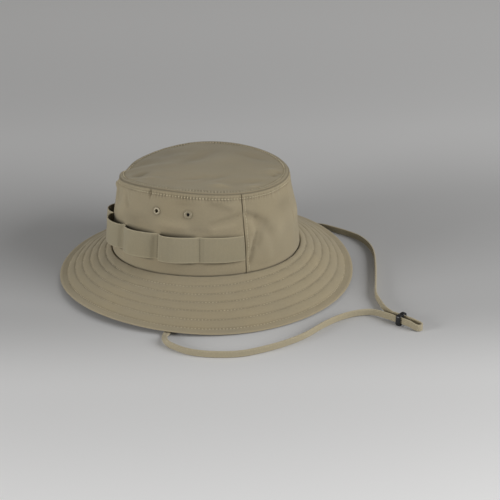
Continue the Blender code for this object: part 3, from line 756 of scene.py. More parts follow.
def brim_threads(name, under, pitch):
    parts = []
    for row, inset in enumerate(STITCH_ROWS):
        angle = np.linspace(0, 2 * np.pi, 900) + 0.37 * row
        span = 1 - inset / brim_width(angle)
        path = brim_sheet(angle, span, under)
        normal = brim_normal(angle, span) * (-1 if under else 1)
        parts.append(stitches(path, normal, radius=0.36, lift=0.15, length=1.9, pitch=pitch))
    thread_piece(name, parts, THREAD, 1.0, "shell_fabric")


make_brim()
brim_threads("brim_topstitching", under=False, pitch=3.3)
brim_threads("brim_understitching", under=True, pitch=3.6)


# ------------------------------------------------------------------ crown wall
def band_slack(deg):
    """How far the band bows off the wall at each angle."""
    off = np.zeros_like(deg)
    for k, (slack, peak, boxy) in enumerate(LOOPS):
        share = (deg - TACKS[k]) / (TACKS[k + 1] - TACKS[k])
        arch = np.sin(np.pi * np.clip(share, 0, 1) ** peak) ** boxy
        arch = arch * smooth(np.minimum(share / 0.10, (1 - share) / 0.14))
        off = np.where((share >= 0) & (share <= 1), slack * arch, off)
    return off


def tack_distance(deg, tacks=TACKS):
    """Millimetres along the band to the nearest tack."""
    near = np.full_like(deg, 99.0)
    for tack in tacks:
        near = np.minimum(near, np.abs(deg - tack) * BAND_PER_DEG)
    return near


def wall_wear_and_shade(angle, rise):
    tall = wall_height(angle)
    below = (1 - rise) * tall
    girth = girth_of(angle)
    deg = np.degrees(angle) % 360
    # the top seam: rubbed ridge, then painted shade in the seam line under the tip's ridge, in the
    # stitched valley and between the tucks
    wear_and_shade = 0.25 * bell(below - 2.4, 1.2) - 5.2 * bell(below, 0.85)
    wear_and_shade = wear_and_shade - 0.8 * bell(below - WALL_STITCH, 0.6)
    wear_and_shade = wear_and_shade - 2.7 * tuck_shade(girth, WALL_TUCKS) * bell(below - 5.0, 1.9)
    # painted shade in the dents and painted light on the bulges
    wear_and_shade = wear_and_shade + 0.42 * wall_dents(angle, rise)
    # painted shade on the wearer's right, the side facing the camera
    wear_and_shade = wear_and_shade - 0.45 * bell(deg - 280, 26)
    # little light reaches the cloth behind the band
    behind = smooth((rise - BAND_SPAN[0] + 0.045) / 0.03)
    behind = behind * (1 - smooth((rise - BAND_SPAN[1] + 0.012) / 0.05))
    wear_and_shade = wear_and_shade - 3.4 * behind * np.clip(band_slack(deg) / 3.0, 0, 1)
    # painted shade at the foot, round the eyelets and in the upright seams
    wear_and_shade = wear_and_shade - 1.8 * bell(rise * tall, 0.9)
    wear_and_shade = wear_and_shade - 0.9 * bell(vent_distance(angle, rise) - 4.5, 0.6)
    for seam in SEAMS:
        wear_and_shade = wear_and_shade - 2.0 * bell(seam_offset(angle, seam), 0.45)
    return wear_and_shade


def make_wall(name, node, start, end, stations):
    lip = 0.14 / WALL_PER_DEG
    angles = np.radians(np.linspace(start + lip, end - lip, stations))
    # crowd stations at the seams, where the cloth rolls in
    near = np.radians(np.array([0.25, 0.5, 0.8, 1.2, 1.7, 2.4])) / WALL_PER_DEG
    angles = np.unique(np.concatenate([angles, angles[0] + near, angles[-1] - near]))
    low = np.array([-0.026, -0.012, 0.0, 0.008, 0.016, 0.026])
    below = np.array([0.0, 0.25, 0.5, 0.9, 1.4, 2.0, 3.0, 3.9, 4.7, 5.5, 6.5])
    rises = np.concatenate([low, np.linspace(0.035, 0.91, 64), 1 - below / WALL_TALL])
    angle, rise = np.meshgrid(angles, np.unique(rises), indexing="ij")
    puff = wall_puff(angle, rise)
    outer = wall_at(angle, rise, puff)
    inner = wall_at(angle, rise, np.minimum(puff, 0.9) - PLY)
    verts, faces = shell(outer, inner, False)
    across, along = np.degrees(angle) * WALL_PER_DEG, rise * wall_height(angle)
    attrs = shell_attrs(across, along, wall_wear_and_shade(angle, rise))
    panel = build(name, verts, faces, [SHELL], attrs)
    finish(panel, "shell_fabric", node)
    return panel


def vent_turn(angle):
    """Rotation that points +Z straight out of the wall at a vent."""
    return Vector(wall_normal(angle, VENT_RISE)).to_track_quat("Z", "Y").to_matrix()


def cut_vents(panel, sign):
    """Real holes through the cloth behind the eyelets."""
    for deg in VENTS.values():
        angle = np.radians(sign * deg)
        centre = Vector(place(wall_at(angle, VENT_RISE, 0.0)))
        bpy.ops.mesh.primitive_cylinder_add(vertices=24, radius=2.2 * MM, depth=9 * MM)
        cutter = bpy.context.object
        cutter.matrix_world = Matrix.Translation(centre) @ vent_turn(angle).to_4x4()
        modifier = panel.modifiers.new("vent", "BOOLEAN")
        modifier.operation = "DIFFERENCE"
        modifier.solver = "EXACT"
        modifier.object = cutter
        bpy.context.view_layer.update()
        graph = bpy.context.evaluated_depsgraph_get()
        made = bpy.data.meshes.new_from_object(panel.evaluated_get(graph))
        panel.modifiers.clear()
        old = panel.data
        panel.data = made
        bpy.data.meshes.remove(old)
        bpy.data.objects.remove(cutter, do_unlink=True)


make_wall("crown_front_cloth", "crown_front_panel", -FRONT_SEAM, FRONT_SEAM, 230)
left_wall = ("crown_side_cloth_left", "crown_side_panel_left", FRONT_SEAM, REAR_SEAM, 320)
cut_vents(make_wall(*left_wall), 1)
right_wall = ("crown_side_cloth_right", "crown_side_panel_right", REAR_SEAM, 360 - FRONT_SEAM, 320)
cut_vents(make_wall(*right_wall), -1)


# ------------------------------------------------------------------ crown tip
def tip_reach(angle):
    """From the tip's middle to its seam."""
    edge = crown_top(angle)
    return np.hypot(edge[..., 0] - TOP_SHIFT, edge[..., 1])


def tip_sheet(angle, inward, drop=0.0):
    """A point of the tip this many millimetres in from its seam, towards the middle."""
    edge = crown_top(angle)
    share = 1 - inward / tip_reach(angle)
    x = TOP_SHIFT + (edge[..., 0] - TOP_SHIFT) * share
    y = edge[..., 1] * share
    middle = TOP_Z + TIP_RISE
    z = middle + (edge[..., 2] - middle) * share**2.4
    z = z + 0.7 * tip_dents(x, y) * smooth((1 - share) / 0.08)
    z = z + 0.45 * ripple(x, y, 7, (24.0, 38.0, 60.0)) * smooth((1 - share) / 0.1)
    # the seam, as on the wall: ridge, roll, stitched valley and tucks
    girth = girth_of(angle, TIP_PER_DEG)
    ridge = 0.45 * smooth(inward / 1.2) * (1 - smooth((inward - 3.3) / 1.2))
    roll = -1.7 * (1 - smooth(inward / 1.0))
    valley = -0.22 * bell(inward - TIP_STITCH, 0.6)
    tick = 0.32 * bell(inward - 4.6, 1.8) * tucks(girth, TIP_TUCKS)
    gather = 0.16 * bell(inward - 5.0, 4.0) * smooth(inward / 2)
    gather = gather * ripple(girth, inward * 0.12, 15, (5.0, 7.5, 10.0))
    return stack(x, y, z + ridge + roll + valley + tick + gather - drop)


def tip_wear_and_shade(angle, inward, x, y):
    # a rubbed ridge, then painted shade in the seam line, the stitched valley and between the tucks
    wear_and_shade = 0.3 * bell(inward - 2.2, 1.2) - 5.0 * bell(inward, 0.6)
    wear_and_shade = wear_and_shade - 0.8 * bell(inward - TIP_STITCH, 0.6)
    shade = tuck_shade(girth_of(angle, TIP_PER_DEG), TIP_TUCKS)
    wear_and_shade = wear_and_shade - 3.0 * shade * bell(inward - 4.6, 1.6)
    # painted shade in the dents and painted light on the bulges
    wear_and_shade = wear_and_shade + 0.34 * tip_dents(x, y)
    # painted shade: darker on the side away from the camera and towards the camera's left, away from the
    # key light
    wear_and_shade = wear_and_shade - 1.25 * smooth((LIT_SIDE_X * y - LIT_SIDE_Y * x + 38) / 95)
    return wear_and_shade - 0.45 * smooth((-LIT_SIDE_X * x - LIT_SIDE_Y * y) / 55)


def make_tip():
    around = circle(840)
    seam_steps = [0.0, 0.25, 0.5, 0.85, 1.3, 1.9, 2.6, 3.3, 3.9, 4.4, 5.0, 5.8, 6.8]
    inmost = 70.5
    steps = np.concatenate([seam_steps, np.linspace(8.2, inmost, 44)])
    angle, inward = np.meshgrid(around, steps, indexing="ij")
    # beyond 8 mm the rows stretch to stop 1.2 mm short of the middle
    stretch = 8 + (inward - 8) * (tip_reach(angle) - 8 - 1.2) / (inmost - 8)
    inward = np.where(inward > 8, stretch, inward)
    top, low = tip_sheet(angle, inward), tip_sheet(angle, inward, drop=PLY)
    # the cut edge turns down inside the wall
    down_angle, down = np.meshgrid(around, np.array([0.6, 2.0, 3.8]), indexing="ij")
    skirt = wall_at(down_angle, 1 - down / WALL_TALL, -1.45)
    skirt_in = wall_at(down_angle, 1 - down / WALL_TALL, -1.9)
    outer = np.concatenate([skirt[:, ::-1], top], axis=1)
    inner = np.concatenate([skirt_in[:, ::-1], low], axis=1)
    stations, rows = outer.shape[:2]
    verts, faces = shell(outer, inner, True)
    # close the middle: the last row of each face meets in a point
    keep = np.ones(len(faces), bool)
    rim = 2 * stations * (rows - 1) + stations
    keep[rim : rim + stations] = False
    middle = np.array([TOP_SHIFT, 0.0, outer[:, -1, 2].mean()])
    verts = np.concatenate([verts, [middle, middle - [0, 0, PLY]]])
    i = np.arange(0, stations, 2)
    out_ring = [((i + k) % stations) * rows + rows - 1 for k in range(3)]
    in_ring = [stations * rows + index for index in out_ring]
    out_point, in_point = np.full_like(i, len(verts) - 2), np.full_like(i, len(verts) - 1)
    out_cap = np.stack([*out_ring, out_point], -1)
    in_cap = np.stack([in_ring[0], in_point, in_ring[2], in_ring[1]], -1)
    faces = np.concatenate([faces[keep], out_cap, in_cap])
    all_inward = np.concatenate([down * 0 - 3, inward], axis=1)
    wear_and_shade = tip_wear_and_shade(around[:, None], all_inward, outer[..., 0], outer[..., 1]).ravel()
    attrs = {"grain": verts * [1, 1, 0], "wear_and_shade": np.concatenate([wear_and_shade, wear_and_shade, [0, 0]])}
    tip = build("crown_tip_cloth", verts, faces, [SHELL], attrs)
    finish(tip, "shell_fabric", "crown_tip")


def crown_threads():
    around = np.linspace(0, 2 * np.pi, 1200)
    top_row = {"radius": 0.43, "lift": 0.20, "length": 2.0, "pitch": TOP_PITCH}
    rise = 1 - WALL_STITCH / wall_height(around)
    path = wall_at(around, rise, wall_puff(around, rise))
    parts = [stitches(path, wall_normal(around, rise), **top_row)]
    upright = np.full((len(around), 3), (0.0, 0.0, 1.0))
    parts.append(stitches(tip_sheet(around, TIP_STITCH), upright, **top_row))
    rise = np.linspace(0.03, 0.93, 300)
    for seam, side in ((-FRONT_SEAM, 1), (FRONT_SEAM, -1), (REAR_SEAM, 1), (REAR_SEAM, -1)):
        angle = np.full_like(rise, np.radians(seam + side * 3.1 / WALL_PER_DEG))
        path = wall_at(angle, rise, wall_puff(angle, rise))
        normal = wall_normal(angle, rise)
        parts.append(stitches(path, normal, radius=0.20, lift=0.05, pitch=2.9))
    thread_piece("crown_topstitching", parts, THREAD, 1.0, "shell_fabric")


make_tip()
crown_threads()


# ------------------------------------------------------------------ branch-loop band
def band_point(deg, across, side):
    """A point of the band: across runs 0..1 from its lower to its upper edge; side +1 is outer."""
    off = band_slack(deg)
    angle = np.radians(deg)
    sag = 0.0035 * np.clip(off, 0, 6.4) / 6.4
    rise = BAND_SPAN[0] + (BAND_SPAN[1] - BAND_SPAN[0]) * across - sag
    tuck = 1 - smooth(tack_distance(deg) / 1.1)
    at_end = 1 - smooth(tack_distance(deg, (TACKS[0], TACKS[-1])) / 1.2)
    rim = np.minimum(across, 1 - across)
    selvedge = 0.14 * bell(rim, 0.05)
    half = (0.58 + selvedge) * (0.25 + 0.75 * quarter_round(rim / 0.022))
    lift = 0.95 + off - 0.28 * tuck - 1.6 * at_end
    flare = 0.35 * np.clip(off, 0, 7) / 6.4 * (across - 0.5)
    wobble = 0.16 * ripple(deg * BAND_PER_DEG, across * 24.0, 41, (16.0, 24.0, 40.0))
    wobble = wobble * np.clip(off / 2.0, 0, 1)
    dents = wall_dents(angle, rise) * 0.3
    return wall_at(angle, rise, dents + lift + flare + wobble + side * half)


def make_band():
    degs = np.linspace(TACKS[0] + 0.12, TACKS[-1] - 0.12, 760)
    rows = (
        [0, 0.006, 0.014, 0.024, 0.045, 0.08, 0.14, 0.22, 0.32, 0.44]
        + [0.56, 0.68, 0.78, 0.86, 0.92, 0.955, 0.976, 0.986, 0.994, 1.0]
    )
    deg, across = np.meshgrid(degs, np.array(rows), indexing="ij")
    verts, faces = shell(band_point(deg, across, 1), band_point(deg, across, -1), False)
    wear_and_shade = 1.8 * bell(np.minimum(across, 1 - across), 0.03)
    # painted shade at the tacks, where the band is pinched to the wall
    wear_and_shade = wear_and_shade - 0.7 * bell(tack_distance(deg), 0.7)
    # painted shade on the inner face where a loop stands open
    inside = wear_and_shade - 2.6 * np.clip(band_slack(deg) / 3.0, 0, 1)
    attrs = shell_attrs(deg * BAND_PER_DEG, across * 25.0, wear_and_shade, inside)
    band = build("branch_loop_webbing", verts, faces, [WEBBING], attrs)
    finish(band, "webbing", "branch_loop_band")


def band_threads():
    across = np.linspace(0.04, 0.96, 60)
    parts = []
    for tack in TACKS[1:-1]:
        deg = np.full_like(across, tack)
        path = band_point(deg, across, 1)
        normal = wall_normal(np.radians(deg), BAND_SPAN[0] + 0.3 * across)
        parts.append(stitches(path, normal, radius=0.30, length=1.45, pitch=2.2, lift=0.08))
    thread_piece("band_tack_stitching", parts, THREAD_DARK, 0.0, "webbing")


make_band()
band_threads()

# ------------------------------------------------------------------ vents
# Closed profiles as radius and height off the cloth.
VENT_PROFILES = {
    "eyelet": (
        (1.45, 0.35), (1.95, 1.1), (3.2, 1.05), (3.95, 0.6), (3.9, 0.05),
        (2.1, 0.05), (2.1, -1.7), (3.0, -1.8), (3.1, -2.3), (1.5, -2.35),
    ),
    "washer": ((2.5, -0.95), (4.3, -0.95), (4.3, -1.55), (2.5, -1.55)),
}


def rounded(points):
    """A closed profile with its corners cut to soft curves of four points."""
    points = np.asarray(points, float)
    keep = 0.32
    found = []
    for k, here in enumerate(points):
        start = here + (points[k - 1] - here) * keep
        end = here + (points[(k + 1) % len(points)] - here) * keep
        for share in np.linspace(0, 1, 4):
            curve = start * (1 - share) ** 2 + here * 2 * share * (1 - share)
            found.append(curve + end * share * share)
    return np.array(found)


def turned(profile, count):
    """A ring turned about +Z."""
    angles = np.linspace(0, 2 * np.pi, count, endpoint=False)[:, None]
    radius, z = profile[:, 0][None, :], profile[:, 1][None, :]
    verts = stack(radius * np.cos(angles), radius * np.sin(angles), z).reshape(-1, 3)
    return verts, tube_faces(count, len(profile))


def make_vents(side, sign):
    for where, deg in VENTS.items():
        angle = np.radians(sign * deg)
        centre = wall_at(angle, VENT_RISE, wall_puff(angle, VENT_RISE) * 0.6)
        turn = np.array(vent_turn(angle))
        for kind, profile in VENT_PROFILES.items():
            verts, faces = turned(rounded(profile), 48)
            name = f"vent_{kind}_{side}_{where}"
            piece = build(f"{name}_ring", verts @ turn.T + centre, faces, [VENT])
            finish(piece, "eyelet_metal", name)


make_vents("left", 1)
make_vents("right", -1)


# ------------------------------------------------------------------ inside of the crown
def strip(name, node, slot, material, angles, low, high, off, closed=False, rows=16, soft=0.25):
    """A cloth strip inside the wall between two rises, its edges rounded, with a little slack.

    off is how far its two faces stand off the wall; low and high may vary with the angles.
    """
    shares = np.concatenate([np.linspace(0, 1, rows), [0.01, 0.03, 0.97, 0.99]])
    angle, share = np.meshgrid(angles, np.unique(shares), indexing="ij")
    low, high = np.reshape(low, (-1, 1)), np.reshape(high, (-1, 1))
    rise = low + (high - low) * share
    rim = np.minimum(share, 1 - share)
    half = (off[0] - off[1]) / 2 * (0.3 + 0.7 * quarter_round(rim / 0.03))
    uneven = ripple(np.degrees(angle) * 1.5, rise * WALL_TALL, 51, (14.0, 22.0, 35.0))
    slack = soft * 0.5 * (1 + np.clip(uneven, -1.2, 1.2)) * smooth(rim / 0.2)
    mid = (off[0] + off[1]) / 2 - slack
    faces_at = wall_at(angle, rise, mid + half), wall_at(angle, rise, mid - half)
    verts, faces = shell(*faces_at, closed)
    attrs = shell_attrs(np.degrees(angle) * WALL_PER_DEG, rise * WALL_TALL, angle * 0)
    finish(build(name, verts, faces, [material], attrs), slot, node)


def fan(where, half_width, radius, count):
    """Angles across a strip of this half width, at this radius."""
    half = np.degrees(half_width / radius)
    return np.radians(np.linspace(where - half, where + half, count))


def make_linings():
    full = circle(360)
    tall = wall_height(full)
    strip(
        "sweatband_cloth", "sweatband", "sweatband_fabric", SWEAT,
        full, low=0.006, high=32.0 / tall, off=(-1.15, -1.85), closed=True,
    )
    strip(
        "tip_binding_tape", "tip_seam_binding", "binding_tape", TAPE,
        full, low=1 - 11.6 / tall, high=1 - 1.8 / tall, off=(-2.1, -2.5), closed=True, rows=8,
    )
    for side, seam in zip(("left", "right", "rear"), SEAMS):
        angles = fan(seam, 5.0, 88.0, 16)
        tall = wall_height(angles)
        strip(
            f"seam_binding_tape_{side}", f"side_seam_binding_{side}", "binding_tape", TAPE,
            angles, low=33.0 / tall, high=1 - 12.6 / tall, off=(-1.1, -1.5), rows=20, soft=0.1,
        )
    strip(
        "plain_label_cloth", "blank_label", "label_fabric", LABEL,
        fan(REAR_SEAM, 16.0, 92.0, 30), low=8 / WALL_TALL, high=26 / WALL_TALL,
        off=(-2.35, -2.62), rows=12, soft=0.1,
    )


def sweatband_threads():
    around = np.linspace(0, 2 * np.pi, 700)
    parts = []
    for above in (3.0, 29.5):
        rise = above / wall_height(around)
        path = wall_at(around, rise, -2.0)
        parts.append(stitches(path, -wall_normal(around, rise), lift=0.05, pitch=3.4))
    thread_piece("sweatband_stitching", parts, THREAD, 0.0, "sweatband_fabric")


make_linings()
sweatband_threads()

# ------------------------------------------------------------------ chin strap
WIDE, THICK, EDGE_Z = 6.5, 1.6, 3.5
# the straight track on which both legs pass through the slider
TRACK_AT, TRACK_TURN = np.array([215.5, -56.2]), np.radians(-21.0)
TRACK_Z, TRACK_SPREAD = 5.0, 2.9
TRACK_BEHIND, TRACK_AHEAD = 12.0, 11.0
TRACK_ALONG = np.array([np.cos(TRACK_TURN), np.sin(TRACK_TURN)])
TRACK_ACROSS = np.array([-np.sin(TRACK_TURN), np.cos(TRACK_TURN)])


def track(along, side, z=TRACK_Z):
    x, y = TRACK_AT + TRACK_ALONG * along + TRACK_ACROSS * TRACK_SPREAD * side
    return (x, y, z, 90.0)


# Stations of the strap: x, y, z and lean in degrees (0 lies flat, 90 stands on its edge).
RIGHT_LEG = [
    (PIVOT_X + 0.6, -PIVOT_Y, PIVOT_Z + 0.4, 18.0),
    (19.4, -158.5, PIVOT_Z + 0.8, 42.0),
    (24.0, -166.0, 2.9, 74.0),
    (32.5, -171.6, EDGE_Z, 90.0), (49.0, -176.3, EDGE_Z, 90.0), (69.0, -174.8, EDGE_Z, 90.0),
    (92.0, -166.6, EDGE_Z, 90.0), (108.0, -154.3, EDGE_Z, 90.0), (125.3, -135.3, EDGE_Z, 90.0),
    (139.2, -114.0, EDGE_Z, 90.0), (149.2, -89.5, EDGE_Z, 90.0), (159.0, -71.0, EDGE_Z, 90.0),
    (171.3, -56.5, EDGE_Z, 90.0),
    (186.5, -49.5, EDGE_Z + 0.6, 90.0),
]
LEFT_LEG = [
    (196.0, -38.5, EDGE_Z + 0.6, 90.0),
    (189.0, -27.0, EDGE_Z, 90.0), (180.5, -11.0, EDGE_Z, 90.0), (174.0, 14.0, EDGE_Z, 90.0),
    (165.5, 48.0, EDGE_Z, 90.0), (156.0, 79.5, EDGE_Z, 90.0), (146.0, 99.5, EDGE_Z, 90.0),
    (132.5, 114.5, EDGE_Z, 90.0), (118.0, 122.5, EDGE_Z, 90.0), (103.0, 128.0, EDGE_Z, 90.0),
    (88.0, 134.5, 2.8, 60.0),
    (72.0, 142.0, PIVOT_Z, 15.0),
    (55.0, 149.0, PIVOT_Z, 0.0),
    (40.0, 157.0, PIVOT_Z + 0.5, 15.0),
    (27.0, 161.5, PIVOT_Z + 1.0, 30.0),
    (20.0, 161.0, PIVOT_Z + 0.7, 20.0),
    (17.3, 157.2, PIVOT_Z, 0.0),
    (PIVOT_X, PIVOT_Y, PIVOT_Z, 0.0),
]
# The loop beyond the slider, on the track: along, side in spreads, z.
LOOP_END = (
    (14.5, -1.1, 4.4), (18.5, -1.2, 3.9), (21.4, -0.85, 3.6), (22.4, 0.0, 3.6),
    (21.4, 0.85, 3.6), (18.5, 1.2, 3.9), (14.5, 1.1, 4.4),
)


def through(points, spacing):
    """A smooth curve through the stations."""
    points = np.asarray(points, float)
    padded = np.vstack([2 * points[0] - points[1], points, 2 * points[-1] - points[-2]])
    found = []
    for k in range(1, len(padded) - 2):
        before, start, end, after = padded[k - 1 : k + 3]
        steps = max(1, int(round(np.linalg.norm((end - start)[:3]) / spacing)))
        square = 2 * before - 5 * start + 4 * end - after
        cube = 3 * start - before - 3 * end + after
        for i in range(steps):
            share = i / steps
            curve = 2 * start + (end - before) * share + square * share**2 + cube * share**3
            found.append(0.5 * curve)
    found.append(points[-1])
    return np.array(found)


def lead_rows(sign):
    """Stations of the lead, flat under the brim from the crown to the pivot."""
    rows = []
    for span in (0.05, 0.25, 0.45, 0.65, 0.82, 0.92, 0.99):
        angle = np.radians(sign * (83.0 + 0.5 * span))
        under = brim_normal(angle, span) * (1.15 + 0.8 + THICK / 2)
        x, y, z = brim_mid(angle, span) - under
        z = z if span < 0.95 else PIVOT_Z + 0.5
        rows.append((x * (1 - span) + PIVOT_X * span, y, z, 0.0))
    return rows


def tape_frames(path):
    """Centres of the strap, raised clear of the ground, and its broad and thin directions."""
    ahead = unit(np.gradient(path[:, :3], axis=0))
    side = unit(np.cross(np.array([0, 0, 1.0]), ahead))
    over = np.cross(ahead, side)
    lean = np.radians(path[:, 3])[:, None]
    broad = side * np.cos(lean) + over * np.sin(lean)
    thin = np.cross(ahead, broad)
    centre = path[:, :3].copy()
    reach = np.abs(broad[:, 2]) * WIDE / 2 + np.abs(thin[:, 2]) * THICK / 2
    centre[:, 2] += np.maximum(0.0, 0.1 + reach - centre[:, 2])
    return centre, broad, thin


def section():
    """Cross-section of the strap: flat, puffed between its rows of stitches, edges rounded."""
    found = []
    for side in (1, -1):
        for across in np.linspace(-side, side, 9):
            puff = 0.86 + 0.14 * np.cos(across * np.pi * 2.2) ** 2
            found.append((across * (WIDE / 2 - 0.35), side * THICK / 2 * puff * 0.98))
        shoulder, high = side * (WIDE / 2 - 0.08), side * THICK / 2 * 0.62
        found += [(shoulder, high), (side * WIDE / 2, 0.0), (shoulder, -high)]
    return np.array(found)


def make_strap(name, path, sign, *nodes):
    centre, broad, thin = tape_frames(path)
    steps = np.linalg.norm(np.diff(centre, axis=0), axis=1)
    run = np.concatenate([[0], np.cumsum(steps)])[:, None]
    shape = section()
    sides, stations = len(shape), len(centre)
    verts = centre[:, None] + broad[:, None] * shape[None, :, :1]
    verts = (verts + thin[:, None] * shape[None, :, 1:]).reshape(-1, 3)
    caps = []
    for base, flip in ((0, False), ((stations - 1) * sides, True)):
        for q in range(sides // 2 - 1):
            quad = [base + q, base + q + 1, base + sides - 2 - q, base + sides - 1 - q]
            caps.append(quad[::-1] if flip else quad)
    faces = np.concatenate([tube_faces(stations, sides, closed=False), np.array(caps)])
    parts = [(verts, outward(verts, faces))]
    for edge in (-1, 1):
        for face in (-1, 1):
            line = centre + broad * edge * (WIDE / 2 - 1.15) + thin * face * (THICK / 2 * 0.93)
            row = stitches(line, thin * face, radius=0.20, length=1.9, pitch=2.7, lift=0.02)
            parts.append(row)
    all_verts, all_faces = join(parts)
    thread_verts = all_verts[len(verts) :]
    wear_and_shade = np.where(np.abs(shape[:, 0]) > WIDE / 2 - 0.2, 1.0, 0.0)
    attrs = {
        "grain": np.concatenate([grain_of(run, np.linspace(0, 15.0, sides)), thread_verts]),
        "wear_and_shade": np.concatenate([np.tile(wear_and_shade, stations), np.zeros(len(thread_verts))]),
    }
    slots = np.zeros(len(all_faces))
    slots[len(faces) :] = 1
    piece = build(name, all_verts, all_faces, [STRAP, THREAD], attrs, slots=slots)
    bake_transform(piece)
    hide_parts(*nodes)


def straighten(path, side):
    """Lay the run through the slider dead straight, as it is in the frame."""
    from_track = path[:, :2] - TRACK_AT
    along, across = from_track @ TRACK_ALONG, from_track @ TRACK_ACROSS
    inside = (along > -TRACK_BEHIND + 3) & (along < TRACK_AHEAD - 1) & (np.abs(across) < 6)
    offset = TRACK_ACROSS * TRACK_SPREAD * side
    path[inside, :2] = TRACK_AT + along[inside, None] * TRACK_ALONG + offset
    path[inside, 2], path[inside, 3] = TRACK_Z, 90.0


def make_straps():
    """Two pieces that meet in the middle of the loop's end."""
    loop = [track(TRACK_AHEAD, -1), *(track(*row) for row in LOOP_END), track(TRACK_AHEAD, 1)]
    loop = through(loop, 1.0)
    middle = len(loop) // 2
    straight = np.linspace(-TRACK_BEHIND, TRACK_AHEAD, 4)
    right = through(lead_rows(-1) + RIGHT_LEG + [track(along, -1) for along in straight], 1.6)
    right = np.vstack([right[:-1], loop[: middle + 1]])
    left = [track(along, 1) for along in straight[::-1]] + LEFT_LEG + lead_rows(1)[::-1]
    left = np.vstack([loop[middle:-1], through(left, 1.6)])
    straighten(right, -1)
    straighten(left, 1)
    make_strap("chin_strap_right", right, -1, "strap_lead_right", "chin_strap")
    make_strap("chin_strap_left", left, 1, "strap_lead_left")


make_straps()


# ------------------------------------------------------------------ slider
def squared(x, power):
    """Bends a circle's cosine or sine towards a rounded square."""
    return np.sign(x) * np.abs(x) ** power


def slider_ring(side):
    count, around = 96, 20
    theta = np.linspace(0, 2 * np.pi, count, endpoint=False)
    # the opening's half size plus the wall
    y = squared(np.cos(theta), 0.46) * (1.3 + 1.05)
    z = squared(np.sin(theta), 0.46) * (3.8 + 0.75)
    spine = stack(0.0, y, z)
    axis = np.array([1.0, 0, 0])
    ahead = unit(np.roll(spine, -1, axis=0) - np.roll(spine, 1, axis=0))
    out = unit(np.cross(ahead, axis))
    out = np.where((out * spine).sum(-1, keepdims=True) > 0, out, -out)
    phi = np.linspace(0, 2 * np.pi, around, endpoint=False)
    long = squared(np.cos(phi), 0.8) * 2.5
    thick = squared(np.sin(phi), 0.8) * 0.95
    verts = spine[:, None] + axis * long[None, :, None] + out[:, None] * thick[None, :, None]
    verts = (verts + np.array([0, side * TRACK_SPREAD, 0])).reshape(-1, 3)
    return verts, outward(verts, tube_faces(count, around))


def make_slider():
    """Two moulded rings side by side, one for each leg of the strap, melted into one body."""
    verts, faces = join([slider_ring(-1), slider_ring(1)])
    cosine, sine = np.cos(TRACK_TURN), np.sin(TRACK_TURN)
    spin = np.array([[cosine, -sine, 0], [sine, cosine, 0], [0, 0, 1]])
    verts = verts @ spin.T + np.array([*TRACK_AT, TRACK_Z])
    verts[:, 2] = np.maximum(verts[:, 2], 0.05)
    slots = np.zeros(len(faces))
    piece = build("strap_slider_rings", verts, faces, [PLASTIC], slots=slots)
    remesh = piece.modifiers.new("union", "REMESH")
    remesh.mode = "VOXEL"
    remesh.voxel_size = 0.22 * MM
    relax = piece.modifiers.new("soft", "SMOOTH")
    relax.iterations = 4
    bpy.context.view_layer.update()
    graph = bpy.context.evaluated_depsgraph_get()
    made = bpy.data.meshes.new_from_object(piece.evaluated_get(graph))
    piece.modifiers.clear()
    piece.data = made
    made.shade_smooth()
    finish(piece, "slider_plastic", "strap_slider", body="slider")


make_slider()

# ------------------------------------------------------------------ camera, floor and light
CENTRE = Vector(DATUM)
YAW, PITCH, ROLL = np.radians(21.19), np.radians(25.24), np.radians(-1.06)
CAMERA_DISTANCE = 1.3002
# from the hat to the camera, and the camera's level right
TOWARD = Vector((np.sin(YAW) * np.cos(PITCH), -np.cos(YAW) * np.cos(PITCH), np.sin(PITCH)))
RIGHT_WAY = Vector((np.cos(YAW), np.sin(YAW), 0))

# The floor's grey along the view, from near to far: share and grey. It is painted light and shade: a
# painted shadow deepest by the hat, paler towards both ends.
FLOOR_HALF, FLOOR_Z = 6.0, -0.0002
FLOOR_NEAR, FLOOR_FAR = -0.45, 1.15
FLOOR_PAINTED_GREYS = ((0.0, 0.97), (0.155, 0.76), (0.245, 0.51), (0.33, 0.48), (0.55, 0.71), (1.0, 0.96))


def make_camera():
    data = bpy.data.cameras.new("camera")
    data.lens = 91.1736
    data.sensor_width = 36.0
    data.shift_x = 0.08738
    data.shift_y = 0.03548
    data.clip_end = 20
    camera = bpy.data.objects.new("camera", data)
    bpy.context.scene.collection.objects.link(camera)
    right = RIGHT_WAY * np.cos(ROLL) + TOWARD.cross(RIGHT_WAY) * np.sin(ROLL)
    basis = Matrix((right, TOWARD.cross(right), TOWARD)).transposed().to_4x4()
    camera.matrix_world = Matrix.Translation(CENTRE + TOWARD * CAMERA_DISTANCE) @ basis
    bpy.context.scene.camera = camera
    bpy.context.scene.view_settings.view_transform = "Standard"


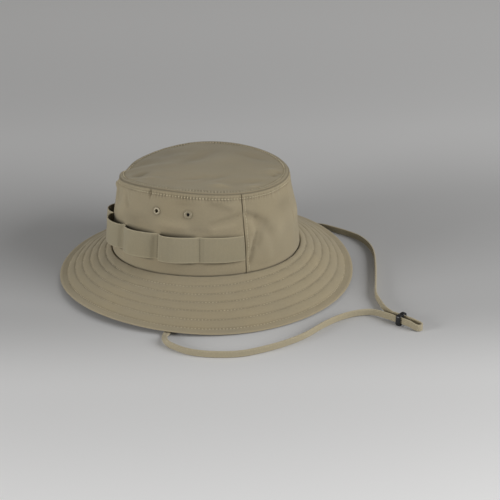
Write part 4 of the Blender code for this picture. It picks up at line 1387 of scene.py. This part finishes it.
def floor_paper():
    made, tree, shader = new_material("floor_paper")
    where = tree.nodes.new("ShaderNodeTexCoord")
    along_view = tree.nodes.new("ShaderNodeVectorMath")
    along_view.operation = "DOT_PRODUCT"
    along_view.inputs[1].default_value = (-TOWARD.x, -TOWARD.y, 0)
    tree.links.new(where.outputs["Object"], along_view.inputs[0])
    reach = tree.nodes.new("ShaderNodeMapRange")
    reach.inputs["From Min"].default_value = FLOOR_NEAR
    reach.inputs["From Max"].default_value = FLOOR_FAR
    tree.links.new(along_view.outputs["Value"], reach.inputs["Value"])
    shades = tree.nodes.new("ShaderNodeValToRGB")
    shades.color_ramp.interpolation = "EASE"
    stops = shades.color_ramp.elements
    for share, _ in FLOOR_PAINTED_GREYS[1:-1]:
        stops.new(share)
    for stop, (_, grey) in zip(stops, FLOOR_PAINTED_GREYS):
        stop.color = (grey, grey, grey, 1)
    tree.links.new(reach.outputs["Result"], shades.inputs["Fac"])
    tree.links.new(shades.outputs["Color"], shader.inputs["Base Color"])
    shader.inputs["Roughness"].default_value = 0.9
    shader.inputs["Specular IOR Level"].default_value = 0.1
    return made


def make_floor():
    mesh = bpy.data.meshes.new("floor")
    signs = ((-1, -1), (1, -1), (1, 1), (-1, 1))
    corners = [(x * FLOOR_HALF, y * FLOOR_HALF, 0) for x, y in signs]
    mesh.from_pydata(corners, [], [(0, 1, 2, 3)])
    floor = bpy.data.objects.new("floor", mesh)
    floor.location = (0, 0, FLOOR_Z)
    bpy.context.scene.collection.objects.link(floor)
    mesh.materials.append(floor_paper())


def softbox(name, right, near, height, aim_height, size, watts):
    """A rectangular lamp, placed to the camera's right and nearer the camera than the hat."""
    data = bpy.data.lights.new(name, "AREA")
    data.shape = "RECTANGLE"
    data.size, data.size_y = size
    data.energy = watts
    lamp = bpy.data.objects.new(name, data)
    near_way = Vector((TOWARD.x, TOWARD.y, 0)).normalized()
    lamp.location = CENTRE + (RIGHT_WAY * right + near_way * near + Vector((0, 0, height)))
    way = (CENTRE + Vector((0, 0, aim_height))) - lamp.location
    lamp.rotation_euler = way.to_track_quat("-Z", "Y").to_euler()
    bpy.context.scene.collection.objects.link(lamp)


def make_world():
    world = bpy.data.worlds.new("studio")
    world.use_nodes = True
    background = world.node_tree.nodes["Background"]
    background.inputs["Color"].default_value = (1.0, 0.985, 0.96, 1)
    background.inputs["Strength"].default_value = 0.20
    bpy.context.scene.world = world


make_camera()
make_floor()
softbox("key", right=1.45, near=0.75, height=0.80, aim_height=0.04, size=(1.15, 0.9), watts=23.4)
softbox(
    "left_fill", right=-1.35, near=0.75, height=0.42, aim_height=0.05, size=(0.7, 0.45), watts=12.6
)
softbox("overhead", right=0.0, near=-0.1, height=1.7, aim_height=0.0, size=(1.6, 1.6), watts=0.6)
make_world()
